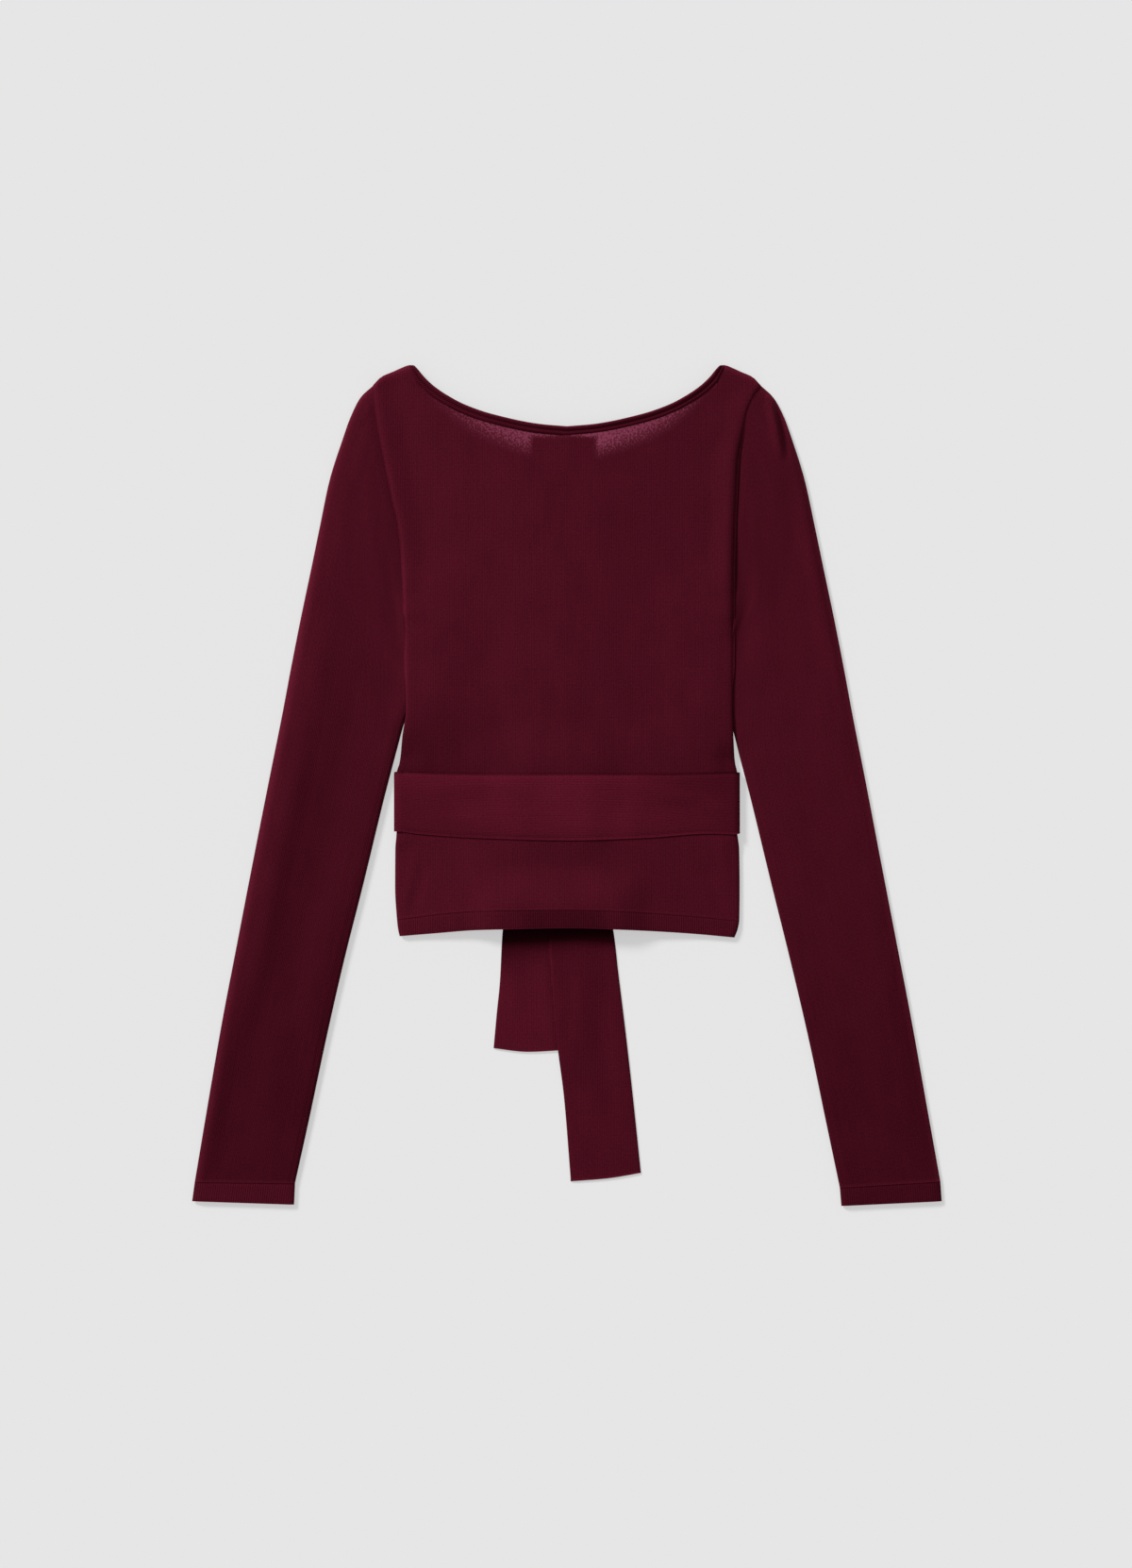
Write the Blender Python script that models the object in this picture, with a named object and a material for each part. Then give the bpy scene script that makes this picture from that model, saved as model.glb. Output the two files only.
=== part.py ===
"""A cropped knit top with a boat neck, long slim sleeves and a tied waist sash, laid flat, back up.

Sizes and tables are in millimetres and meshes are written in metres. X runs across the garment,
Y from hem to neck, and Z up from the surface that it lies on. The origin is under the middle of
its outline. "Left" is the side of lower X, which is the wearer's left as the back faces up.
"""
import math

import bpy
import numpy as np
from mathutils import Matrix

MM = 0.001

# Cloth
WALL = 1.2                  # knit of the panels and the sleeves
LAYER_GAP = 1.2             # air between a back and a front layer
HALF = WALL + LAYER_GAP / 2
SEAM_GAP = 0.3              # between two pieces at a seam
REST_GAP = 0.3              # between two layers that lie on each other
FOLD_REACH = 5.0            # how far in from a folded edge the cloth starts to round over
FOLD_STEPS = (90, 45, 0)    # degrees of the rounding, from the edge inwards
BAND_PROUD = 0.4            # hem and cuff bands, above the panel beside them
NECK_PROUD = 0.2

# Body
SHOULDER_Y = 330.3          # outer end of the shoulder seam
SHOULDER_X = 160.0
NECK_POINT_X = 126.0        # tip of the neck opening
NECK_POINT_Y = 346.6
UNDERARM_Y = 162.0
BACK_NECK_DROP = 50.6
FRONT_NECK_DROP = 73.6
NECKBAND_WIDTH = 7.5
HEM_BAND_LEVELS = 2

# Sleeves
SLEEVE_CROWN = 0.5          # how much higher the upper layer lies along its middle
CROWN_UNEVEN = 0.25
CROWN_WAVE = 1.7            # radians from one section to the next
CROWN_BELOW = 0.2           # share of it in the inner face of the lower layer
ARMHOLE_FADE_SPANS = 4      # spans of the table over which a section straightens out
DENSE_SPANS = 9             # spans at the armhole with more sections
DENSE_STEPS = 2             # sections in each of them

# Waist sash
BELT_WALL = 1.4
BELT_REACH = 2.3            # how far its folds stand outside the body's edge
BELT_REST_Y = (-38.0, 10.0)     # lower and upper edge of the stretch under the front
BELT_TURN = (60, 30, 0, -30, -60, -90)  # degrees of its fold, from the back to the front
BELT_NARROWING = 0.5        # share of the front stretch in which it narrows to the knot
KNOT = dict(x=-8.6, y=-15.2, half_x=18.0, half_y=19.0, height=6.0)
KNOT_ROUNDNESS = 0.25       # how much its corners draw in
KNOT_WRAP_HALF = 9.0        # half the width of the band round its middle
KNOT_WRAP_EDGE = 5.0        # how softly that band ends
KNOT_SHARES = dict(edge=0.35, crown=0.5, wrap=0.15)     # of its height
KNOT_INLET = 0.85           # width of the sash at the knot, as a share of the knot's
TAIL_CENTRE_X = -7.0
TAIL_HALF = 46.0

# How softly a layer comes down beside what it lies on
MARGIN = 4.0
BELT_RAMP = 14.0
KNOT_RAMP = 18.0
TAIL_RAMP = 28.0
SIDE_RAMP = 22.0
TAIL_EDGE_RAMP = 10.0
TAIL_MARGIN = 6.0
SLEEVE_TUCK = 10.0          # deepest reach of a sleeve's inner edge under the body
UNDERARM_SETTLE = 24.0      # how far below the underarm the body starts to come down
UNDERARM_RAMP = 22.0

# Where the sleeves lie under the body: up to the full height, then fading out
SLEEVES_UNDER = [
    dict(side="left", sign=-1, full_height=46.0, fade=30.0),
    dict(side="right", sign=1, full_height=38.0, fade=24.0),
]

# Body edge from hem to shoulder point: the left and right X at each height
BODY_EDGE = [
    dict(y=-126.0, left=-137.9, right=138.3),
    dict(y=-118.2, left=-139.6, right=141.2),
    dict(y=-111.2, left=-140.4, right=142.4),
    dict(y=-83.9, left=-142.0, right=142.7),
    dict(y=-52.7, left=-141.8, right=142.3),
    dict(y=-38.0, left=-140.6, right=140.6),
    dict(y=10.0, left=-140.6, right=140.6),
    dict(y=19.1, left=-138.1, right=138.7),
    dict(y=41.0, left=-135.7, right=137.3),
    dict(y=63.6, left=-132.7, right=136.5),
    dict(y=103.4, left=-133.4, right=136.8),
    dict(y=150.2, left=-134.2, right=137.2),
    dict(y=178.2, left=-135.3, right=137.3),
    dict(y=211.0, left=-138.1, right=138.1),
    dict(y=239.1, left=-143.9, right=139.3),
    dict(y=267.2, left=-149.8, right=140.8),
    dict(y=292.9, left=-154.8, right=145.5),
    dict(y=306.9, left=-156.8, right=148.2),
    dict(y=316.3, left=-158.3, right=151.8),
    dict(y=330.3, left=-160.0, right=160.0),
]

# Curves across the body, as a height at each X
HEM_SEAM = [
    dict(x=-140.0, y=-111.0),
    dict(x=-85.0, y=-104.4),
    dict(x=-50.0, y=-102.9),
    dict(x=3.0, y=-102.3),
    dict(x=46.5, y=-103.8),
    dict(x=90.0, y=-107.1),
    dict(x=140.0, y=-112.1),
]
HEM_EDGE = [
    dict(x=-138.0, y=-124.6),
    dict(x=-107.0, y=-122.0),
    dict(x=-74.0, y=-119.3),
    dict(x=-53.0, y=-118.5),
    dict(x=3.0, y=-117.5),
    dict(x=37.0, y=-118.5),
    dict(x=68.0, y=-120.2),
    dict(x=101.0, y=-122.4),
    dict(x=138.4, y=-125.7),
]
BELT_LOWER = [
    dict(x=-143.0, y=-36.3),
    dict(x=-118.0, y=-40.2),
    dict(x=-63.0, y=-43.7),
    dict(x=0.0, y=-45.2),
    dict(x=62.0, y=-43.3),
    dict(x=116.0, y=-39.8),
    dict(x=143.0, y=-41.0),
]
BELT_UPPER = [
    dict(x=-143.0, y=12.1),
    dict(x=-121.0, y=10.9),
    dict(x=-63.0, y=9.8),
    dict(x=77.0, y=9.8),
    dict(x=143.0, y=11.3),
]
SHOULDER = [
    dict(x=126.0, y=346.9),
    dict(x=130.0, y=347.1),
    dict(x=135.7, y=345.2),
    dict(x=144.3, y=341.3),
    dict(x=152.9, y=337.4),
    dict(x=160.0, y=330.3),
]
# Back neck opening: rise above its lowest point at each distance from the middle
NECK_RISE = [
    dict(x=0.0, y=0.0),
    dict(x=22.0, y=1.9),
    dict(x=61.6, y=10.2),
    dict(x=84.0, y=18.0),
    dict(x=98.7, y=25.8),
    dict(x=110.0, y=33.6),
    dict(x=118.2, y=41.4),
    dict(x=123.2, y=47.6),
    dict(x=126.0, y=50.6),
]

# Sleeves: the ends of each section from the armhole down, and the cuff's seam and edge
LEFT_SLEEVE = [
    dict(outer_x=-160.3, outer_y=330.2, inner_x=-134.9, inner_y=162.0),
    dict(outer_x=-170.5, outer_y=320.5, inner_x=-134.9, inner_y=155.0),
    dict(outer_x=-178.5, outer_y=305.0, inner_x=-134.8, inner_y=147.0),
    dict(outer_x=-186.5, outer_y=282.5, inner_x=-134.6, inner_y=138.0),
    dict(outer_x=-196.0, outer_y=252.5, inner_x=-130.5, inner_y=122.0),
    dict(outer_x=-204.4, outer_y=212.6, inner_x=-125.5, inner_y=105.0),
    dict(outer_x=-211.5, outer_y=178.0, inner_x=-123.7, inner_y=90.0),
    dict(outer_x=-219.5, outer_y=140.0, inner_x=-127.0, inner_y=70.0),
    dict(outer_x=-228.0, outer_y=97.0, inner_x=-134.5, inner_y=51.0),
    dict(outer_x=-235.6, outer_y=56.6, inner_x=-140.3, inner_y=30.0),
    dict(outer_x=-245.0, outer_y=10.0, inner_x=-150.3, inner_y=-8.0),
    dict(outer_x=-260.5, outer_y=-68.3, inner_x=-168.3, inner_y=-82.0),
    dict(outer_x=-273.0, outer_y=-133.0, inner_x=-184.9, inner_y=-148.0),
    dict(outer_x=-284.9, outer_y=-195.0, inner_x=-199.0, inner_y=-210.0),
    dict(outer_x=-297.0, outer_y=-265.0, inner_x=-212.8, inner_y=-275.0),
    dict(outer_x=-307.5, outer_y=-327.5, inner_x=-224.6, inner_y=-328.5),
]
RIGHT_SLEEVE = [
    dict(outer_x=160.3, outer_y=330.2, inner_x=137.7, inner_y=162.0),
    dict(outer_x=170.5, outer_y=320.5, inner_x=137.8, inner_y=155.0),
    dict(outer_x=178.8, outer_y=305.5, inner_x=137.8, inner_y=147.0),
    dict(outer_x=186.8, outer_y=283.5, inner_x=137.7, inner_y=138.0),
    dict(outer_x=196.4, outer_y=252.5, inner_x=134.5, inner_y=122.0),
    dict(outer_x=205.1, outer_y=212.6, inner_x=129.0, inner_y=105.0),
    dict(outer_x=212.3, outer_y=178.0, inner_x=127.0, inner_y=88.0),
    dict(outer_x=220.3, outer_y=140.0, inner_x=130.0, inner_y=66.0),
    dict(outer_x=228.8, outer_y=97.0, inner_x=137.8, inner_y=43.0),
    dict(outer_x=236.3, outer_y=56.6, inner_x=142.6, inner_y=24.0),
    dict(outer_x=245.5, outer_y=10.0, inner_x=151.0, inner_y=-8.0),
    dict(outer_x=260.5, outer_y=-68.3, inner_x=169.0, inner_y=-82.0),
    dict(outer_x=273.0, outer_y=-133.0, inner_x=185.8, inner_y=-150.0),
    dict(outer_x=284.9, outer_y=-195.0, inner_x=200.0, inner_y=-211.0),
    dict(outer_x=297.4, outer_y=-265.0, inner_x=213.6, inner_y=-276.0),
    dict(outer_x=308.5, outer_y=-327.0, inner_x=225.4, inner_y=-332.2),
]
CUFFS = [
    dict(side=-1, outer_x=-309.7, outer_y=-343.4, inner_x=-225.4, inner_y=-346.2),
    dict(side=1, outer_x=309.7, outer_y=-343.4, inner_x=226.7, inner_y=-347.3),
]
CUFF_LEVELS = 3

# Ends of the sash below the knot: the left and right X at each height
SHORT_END = [
    dict(y=-34.5, left=-24.0, right=2.5),
    dict(y=-76.0, left=-41.0, right=7.0),
    dict(y=-119.0, left=-53.0, right=4.0),
    dict(y=-161.9, left=-55.4, right=2.3),
    dict(y=-189.0, left=-58.1, right=0.0),
    dict(y=-219.0, left=-60.8, right=-3.1),
]
LONG_END = [
    dict(y=-34.5, left=-17.9, right=7.5),
    dict(y=-76.0, left=-17.9, right=24.2),
    dict(y=-119.0, left=-15.6, right=38.2),
    dict(y=-154.0, left=-13.3, right=42.4),
    dict(y=-208.7, left=-8.6, right=49.1),
    dict(y=-259.4, left=-2.3, right=54.8),
    dict(y=-324.5, left=3.0, right=61.6),
]
SHORT_END_BOW = (1.8, -1.2, 0.2)    # its cut edge at the left, middle and right, above the last row
LONG_END_BOW = (-2.7, -0.4, 4.3)

NECK_LABEL = dict(x=-2.7, top=287.4, width=54.0, depth=22.0, low=1.55, high=2.1)

# Mesh density
COLUMNS_MIDDLE = 18
COLUMNS_FROM_EDGE = (11.0, 17.0, 23.2, 25.5)
NOMINAL_WIDTH = 275.0       # body width that the column distances are given for
ROWS_HEM_TO_BELT = 6
ROWS_BELT = 5
ROWS_BELT_TO_LIFT = 4
ROWS_TO_UNDERARM = 7
ROWS_ARMHOLE = 6
LIFT_LEVEL_Y = 56.0
TAIL_ROWS = 20
TAIL_COLUMNS = 7
KNOT_CELLS = 8
BELT_REST_STEPS = 6
NECK_SAMPLES = 241

WINE = (0.064, 0.0065, 0.0122)
WINE_DEEP = (0.045, 0.0050, 0.0090)
WINE_SASH = (0.074, 0.0068, 0.0130)
ROUGHNESS = 0.85


def column(table, name):
    return np.array([row[name] for row in table], float)


def smooth(knots, values, at):
    """Smooth curve through a table's rows that never swings past them."""
    knots = np.asarray(knots, float)
    values = np.asarray(values, float)
    at = np.clip(np.asarray(at, float), knots[0], knots[-1])
    steps = np.diff(knots)
    rates = np.diff(values) / steps
    product = rates[:-1] * rates[1:]
    total = rates[:-1] + rates[1:]
    slopes = np.empty_like(values)
    slopes[1:-1] = np.where(product > 0, 2 * product / np.where(total == 0, 1, total), 0)
    slopes[0] = rates[0]
    slopes[-1] = rates[-1]
    i = np.clip(np.searchsorted(knots, at, side="right") - 1, 0, len(knots) - 2)
    t = (at - knots[i]) / steps[i]
    start = values[i] * (1 + 2 * t) * (1 - t) ** 2 + slopes[i] * steps[i] * t * (1 - t) ** 2
    end = values[i + 1] * t * t * (3 - 2 * t) + slopes[i + 1] * steps[i] * t * t * (t - 1)
    return start + end


def across(table, x):
    return smooth(column(table, "x"), column(table, "y"), x)


def body_edge(side, y):
    return smooth(column(BODY_EDGE, "y"), column(BODY_EDGE, side), y)


def ramp(distance, length):
    """1 up to a distance of 0, then falling smoothly to 0 at the length."""
    t = np.clip(distance / length, 0, 1)
    return 1 - t * t * (3 - 2 * t)


def lift(x, y):
    """Underside of the body: how high what lies under it holds the front, at each point."""
    low, high = BELT_REST_Y
    belt_away = np.maximum(y - high, low - y) - MARGIN
    belt = (BELT_WALL + REST_GAP) * ramp(belt_away, BELT_RAMP)
    knot_away = np.hypot(
        np.maximum(abs(x - KNOT["x"]) - KNOT["half_x"], 0),
        np.maximum(abs(y - KNOT["y"]) - KNOT["half_y"], 0),
    ) - MARGIN
    knot = (KNOT["height"] + REST_GAP) * ramp(knot_away, KNOT_RAMP)
    tails_high = 2 * (BELT_WALL + REST_GAP) + REST_GAP / 2
    tails = tails_high * ramp(abs(x - TAIL_CENTRE_X) - TAIL_HALF - MARGIN, TAIL_RAMP)
    tails = tails * ramp(y - low, KNOT_RAMP)
    sleeve_high = 2 * HALF + REST_GAP
    sleeves = 0
    for row in SLEEVES_UNDER:
        inboard = abs(body_edge(row["side"], y) - x) - SLEEVE_TUCK - MARGIN
        along = ramp(row["full_height"] - y, row["fade"])
        along = along * ramp(y - (UNDERARM_Y - UNDERARM_SETTLE), UNDERARM_RAMP)
        here = sleeve_high * along * ramp(inboard, SIDE_RAMP)
        sleeves = sleeves + np.where(row["sign"] * x > 0, here, 0)
    return (belt ** 4 + knot ** 4 + tails ** 4 + sleeves ** 4) ** 0.25


def add_solid(name, points, faces, colour):
    """One closed solid as an object with its own material; points are in millimetres."""
    mesh = bpy.data.meshes.new(name)
    mesh.from_pydata([tuple(MM * value for value in point) for point in points], [], faces)
    mesh.validate()
    mesh.shade_smooth()
    material = bpy.data.materials.new(name + "_knit")
    material.use_nodes = True
    shader = material.node_tree.nodes["Principled BSDF"]
    shader.inputs["Base Color"].default_value = (*colour, 1)
    shader.inputs["Roughness"].default_value = ROUGHNESS
    shader.inputs["Metallic"].default_value = 0
    mesh.materials.append(material)
    piece = bpy.data.objects.new(name, mesh)
    bpy.context.scene.collection.objects.link(piece)
    return piece


def shell(name, outer, inner, colour, ring=False):
    """A wall between two grids of points; a ring's last column joins its first."""
    outer = np.asarray(outer, float)
    inner = np.asarray(inner, float)
    rows, columns = outer.shape[:2]
    points = np.concatenate([outer.reshape(-1, 3), inner.reshape(-1, 3)])
    layer = rows * columns
    spans = columns if ring else columns - 1
    faces = []

    def quad(a, b, c, d):
        faces.append((a, b, c))
        faces.append((a, c, d))

    def corner(row, col):
        return row * columns + col % columns

    for row in range(rows - 1):
        for col in range(spans):
            a, b = corner(row, col), corner(row, col + 1)
            d, c = corner(row + 1, col), corner(row + 1, col + 1)
            quad(a, b, c, d)
            faces.append((layer + c, layer + b, layer + a))
            faces.append((layer + d, layer + c, layer + a))
    for col in range(spans):
        a, b = corner(0, col), corner(0, col + 1)
        quad(b, a, layer + a, layer + b)
        a, b = corner(rows - 1, col), corner(rows - 1, col + 1)
        quad(a, b, layer + b, layer + a)
    if not ring:
        for row in range(rows - 1):
            a, d = corner(row, 0), corner(row + 1, 0)
            quad(a, d, layer + d, layer + a)
            a, d = corner(row, columns - 1), corner(row + 1, columns - 1)
            quad(d, a, layer + a, layer + d)
    if volume(points, faces) < 0:
        faces = [face[::-1] for face in faces]
    return add_solid(name, points, faces, colour)


def volume(points, faces):
    corners = points[np.array(faces)]
    return np.einsum("ij,ij->i", corners[:, 0], np.cross(corners[:, 1], corners[:, 2])).sum() / 6


def fold_distances():
    """Distance from a folded edge of each point of its rounding."""
    return [FOLD_REACH * (1 - math.cos(math.radians(90 - angle))) for angle in FOLD_STEPS]


def fold_cosines():
    return [math.sin(math.radians(angle)) for angle in FOLD_STEPS]


def column_shares():
    """Place of each panel column between the left edge, 0, and the right edge, 1."""
    left = fold_distances() + list(COLUMNS_FROM_EDGE)
    left = np.array(left) / NOMINAL_WIDTH
    middle = np.linspace(left[-1], 1 - left[-1], COLUMNS_MIDDLE + 1)[1:-1]
    return np.concatenate([left, middle, 1 - left[::-1]])


def top_x(shares):
    return -SHOULDER_X + 2 * SHOULDER_X * shares


def neck_columns(shares):
    """First and last column of the neckline: the third beyond the rounding, from each side."""
    first = len(FOLD_STEPS) + 2
    return first, len(shares) - 1 - first


def neck_opening(x, drop):
    """Edge of the neck opening, at each X."""
    rise = smooth(column(NECK_RISE, "x"), column(NECK_RISE, "y"), abs(x))
    return NECK_POINT_Y - drop + rise * drop / BACK_NECK_DROP


def neck_seam(x, drop):
    """Seam of the neckband: the opening's edge, moved out by the band's width."""
    along = np.linspace(-NECK_POINT_X, NECK_POINT_X, NECK_SAMPLES)
    edge = np.stack([along, neck_opening(along, drop)], axis=1)
    ahead = np.gradient(edge, axis=0)
    ahead = ahead / np.linalg.norm(ahead, axis=1)[:, None]
    seam = edge + (NECKBAND_WIDTH + SEAM_GAP) * np.stack([ahead[:, 1], -ahead[:, 0]], axis=1)
    return np.interp(x, seam[:, 0], seam[:, 1])


def panel_top(shares, drop):
    """Upper boundary of a panel: shoulder, neckline, shoulder."""
    x = top_x(shares)
    first, last = neck_columns(shares)
    shoulder = smooth(column(SHOULDER, "x"), column(SHOULDER, "y"), abs(x))
    neckline = neck_seam(x, drop)
    inside = (np.arange(len(x)) > first) & (np.arange(len(x)) < last)
    return np.where(inside, neckline, shoulder)


def panel_plan(drop):
    """Grid of a panel in plan: rows from the hem seam to the neck, columns from left to right."""
    shares = column_shares()
    nominal_x = (shares - 0.5) * NOMINAL_WIDTH
    top = panel_top(shares, drop)
    level = np.ones_like(shares)
    guides = [
        across(HEM_SEAM, nominal_x),
        across(BELT_LOWER, nominal_x),
        across(BELT_UPPER, nominal_x),
        LIFT_LEVEL_Y * level,
        UNDERARM_Y * level,
    ]
    counts = (ROWS_HEM_TO_BELT, ROWS_BELT, ROWS_BELT_TO_LIFT, ROWS_TO_UNDERARM)
    rows = []
    for lower, upper, count in zip(guides, guides[1:], counts):
        rows += [lower + (upper - lower) * i / count for i in range(count)]
    near = fold_distances()
    rows += [guides[-1] + distance for distance in near]
    start, end = guides[-1] + near[-1], top - near[-1]
    rows += [start + (end - start) * i / ROWS_ARMHOLE for i in range(1, ROWS_ARMHOLE)]
    rows += [top - distance for distance in near[::-1]]
    y = np.array(rows)
    left, right = body_edge("left", y), body_edge("right", y)
    return left + (right - left) * shares, y


def panel_folds(x, y):
    """How far each point is round a fold (1 at the edge) and which way is inwards from it."""
    rows, columns = x.shape
    turn = np.zeros((rows, columns))
    inward = np.zeros((rows, columns, 2))
    cosines = fold_cosines()
    closed = np.clip((UNDERARM_Y + FOLD_REACH - y) / (2 * FOLD_REACH), 0, 1)
    for i, cosine in enumerate(cosines):
        for col, direction in ((i, 1), (columns - 1 - i, -1)):
            turn[:, col] = closed[:, col] * cosine
            inward[:, col, 0] = direction
    first, last = neck_columns(np.arange(columns))
    shoulders = [col for col in range(columns) if col <= first or col >= last]
    for i, cosine in enumerate(cosines):
        turn[rows - 1 - i, shoulders] = cosine
        inward[rows - 1 - i, shoulders] = (0, -1)
    return turn, inward


def layer(x, y, turn, inward, facing, proud=0.0, wall=WALL):
    """Outer and inner points of a layer that faces up (1) or down (-1) and rounds at its folds."""
    sine = np.sqrt(1 - np.clip(turn, 0, 1) ** 2)
    middle = lift(x, y) + HALF
    outer_rise = np.maximum((HALF + proud) * sine, SEAM_GAP / 2)
    inner_rise = np.maximum((HALF - wall) * sine, SEAM_GAP / 2)
    outer = np.stack([x, y, middle + facing * outer_rise], axis=-1)
    moved = wall * turn[..., None] * inward
    inner = np.stack([x + moved[..., 0], y + moved[..., 1], middle + facing * inner_rise], axis=-1)
    return outer, inner


def make_panel(name, facing, drop):
    x, y = panel_plan(drop)
    turn, inward = panel_folds(x, y)
    outer, inner = layer(x, y, turn, inward, facing)
    return shell(name, outer, inner, WINE)


def make_hem_band(name, facing, proud):
    shares = column_shares()
    nominal_x = (shares - 0.5) * NOMINAL_WIDTH
    seam = across(HEM_SEAM, nominal_x) - SEAM_GAP
    edge = across(HEM_EDGE, nominal_x)
    y = np.array([edge + (seam - edge) * i / HEM_BAND_LEVELS for i in range(HEM_BAND_LEVELS + 1)])
    left, right = body_edge("left", y), body_edge("right", y)
    x = left + (right - left) * shares
    turn = np.zeros_like(x)
    inward = np.zeros((*x.shape, 2))
    for i, cosine in enumerate(fold_cosines()):
        turn[:, [i, -1 - i]] = cosine
        inward[:, i, 0] = 1
        inward[:, -1 - i, 0] = -1
    outer, inner = layer(x, y, turn, inward, facing, proud)
    return shell(name, outer, inner, WINE_DEEP)


def make_neckband(name, facing, drop, proud):
    """Strip along the neckline, made from the panel's own points, that rounds over at the shoulders."""
    plan_x, plan_y = panel_plan(drop)
    first, last = neck_columns(column_shares())
    seam = np.stack([plan_x[-1, first:last + 1], plan_y[-1, first:last + 1]], axis=1)
    ahead = np.gradient(seam, axis=0)
    ahead = ahead / np.linalg.norm(ahead, axis=1)[:, None]
    out = np.stack([-ahead[:, 1], ahead[:, 0]], axis=1)
    out[0] = (1, 0)
    out[-1] = (-1, 0)
    lower = seam + SEAM_GAP * out
    upper = seam + (SEAM_GAP + NECKBAND_WIDTH) * out
    points = np.array([lower, (lower + upper) / 2, upper])
    x, y = points[..., 0], points[..., 1]
    shoulder_y = smooth(column(SHOULDER, "x"), column(SHOULDER, "y"), abs(x))
    from_shoulder = shoulder_y - y
    turn = np.clip(1 - from_shoulder / FOLD_REACH, 0, 1)
    turn[:, [0, -1]] = 1
    inward = np.where(x[..., None] < 0, ahead, -ahead)
    outer, inner = layer(x, y, turn, inward, facing, proud)
    return shell(name, outer, inner, WINE_DEEP)


def section_shares(length):
    """Place of a sleeve section's points between its outer end, 0, and its inner end, 1."""
    near = np.array(fold_distances()) / length
    middle = np.linspace(near[-1], 1 - near[-1], ROWS_ARMHOLE + 1)[1:-1]
    return np.concatenate([near, middle, 1 - near[::-1]])


def sleeve_ends(table, per_span):
    """Outer and inner ends of every section of a sleeve, with more of them where it is tucked in."""
    at = []
    for span, count in enumerate(per_span):
        at += [span + i / count for i in range(count)]
    at = np.array(at + [len(table) - 1])
    knots = np.arange(len(table))
    names = ("outer_x", "outer_y", "inner_x", "inner_y")
    ends = np.stack([smooth(knots, column(table, name), at) for name in names], axis=1)
    return ends[:, :2], ends[:, 2:], at


def armhole_points(side, sign):
    """The armhole's edge from the shoulder to the underarm, at the panel's own rows."""
    near = fold_distances()
    low, high = UNDERARM_Y + near[-1], SHOULDER_Y - near[-1]
    middle = [high + (low - high) * i / ROWS_ARMHOLE for i in range(1, ROWS_ARMHOLE)]
    y = [SHOULDER_Y - distance for distance in near] + middle
    y = np.array(y + [UNDERARM_Y + distance for distance in near[::-1]])
    return np.stack([body_edge(side, y) + sign * SEAM_GAP, y], axis=1)


def tube_crown(sections, count):
    """Soft rise of a flat tube's upper layer, a little uneven along its length."""
    across_tube = np.sin(np.linspace(0, math.pi, count)) ** 2
    along_tube = 1 + CROWN_UNEVEN * np.sin(np.arange(sections) * CROWN_WAVE)
    return SLEEVE_CROWN * along_tube[:, None] * across_tube[None, :]


def tube_rings(plan, inner_edge_in, proud):
    """Outer and inner rings of a flat tube from the plan of its sections."""
    folds = fold_cosines()
    count = plan.shape[1]
    crown = tube_crown(*plan.shape[:2])
    turn = np.zeros(count)
    turn[:len(folds)] = folds
    turn[-len(folds):] = folds[::-1]
    chord = plan[:, -1] - plan[:, 0]
    chord = chord / np.linalg.norm(chord, axis=1)[:, None]
    inward = np.zeros_like(plan)
    inward[:, :len(folds)] = chord[:, None]
    inward[:, -len(folds):] = inner_edge_in[:, None]
    sine = np.sqrt(1 - turn ** 2)
    moved = plan + WALL * turn[None, :, None] * inward
    above = HALF + (HALF + proud) * sine + crown
    below = np.broadcast_to(HALF * (1 - sine), crown.shape)
    inner_above = HALF + (HALF - WALL) * sine + crown
    inner_below = HALF - (HALF - WALL) * sine + CROWN_BELOW * crown
    back = slice(count - 2, 0, -1)
    outer = np.concatenate([
        np.dstack([plan, above]),
        np.dstack([plan[:, back], below[:, back]]),
    ], axis=1)
    inner = np.concatenate([
        np.dstack([moved, inner_above]),
        np.dstack([moved[:, back], inner_below[:, back]]),
    ], axis=1)
    return outer, inner


def edge_inward(edge, sign):
    """Direction from a sleeve's inner edge into the sleeve."""
    ahead = np.gradient(edge, axis=0)
    ahead = ahead / np.linalg.norm(ahead, axis=1)[:, None]
    normal = np.stack([-ahead[:, 1], ahead[:, 0]], axis=1)
    return normal * np.where(normal[:, :1] * sign < 0, -1, 1)


def make_sleeve(name, side, sign, table):
    per_span = [DENSE_STEPS] * DENSE_SPANS + [1] * (len(table) - 1 - DENSE_SPANS)
    outer_ends, inner_ends, at = sleeve_ends(table, per_span)
    armhole = armhole_points(side, sign)
    plan = []
    straight_first = None
    for outer, inner, place in zip(outer_ends, inner_ends, at):
        shares = section_shares(np.linalg.norm(inner - outer))
        straight = outer + (inner - outer) * shares[:, None]
        if straight_first is None:
            straight_first = straight
        fade = max(0.0, 1 - place / ARMHOLE_FADE_SPANS) ** 2
        plan.append(straight + fade * (armhole - straight_first))
    plan = np.array(plan)
    outer, inner = tube_rings(plan, edge_inward(inner_ends, sign), 0.0)
    return shell(name, outer, inner, WINE, ring=True)


def make_cuff(name, sign, table, end):
    seam = table[-1]
    plan = []
    for level in range(CUFF_LEVELS + 1):
        share = level / CUFF_LEVELS
        outer = np.array([seam["outer_x"], seam["outer_y"] - SEAM_GAP]) * (1 - share)
        outer = outer + np.array([end["outer_x"], end["outer_y"]]) * share
        inner = np.array([seam["inner_x"], seam["inner_y"] - SEAM_GAP]) * (1 - share)
        inner = inner + np.array([end["inner_x"], end["inner_y"]]) * share
        shares = section_shares(np.linalg.norm(inner - outer))
        plan.append(outer + (inner - outer) * shares[:, None])
    plan = np.array(plan)
    outer, inner = tube_rings(plan, edge_inward(plan[:, -1], sign), BAND_PROUD)
    return shell(name, outer, inner, WINE_DEEP, ring=True)


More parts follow.
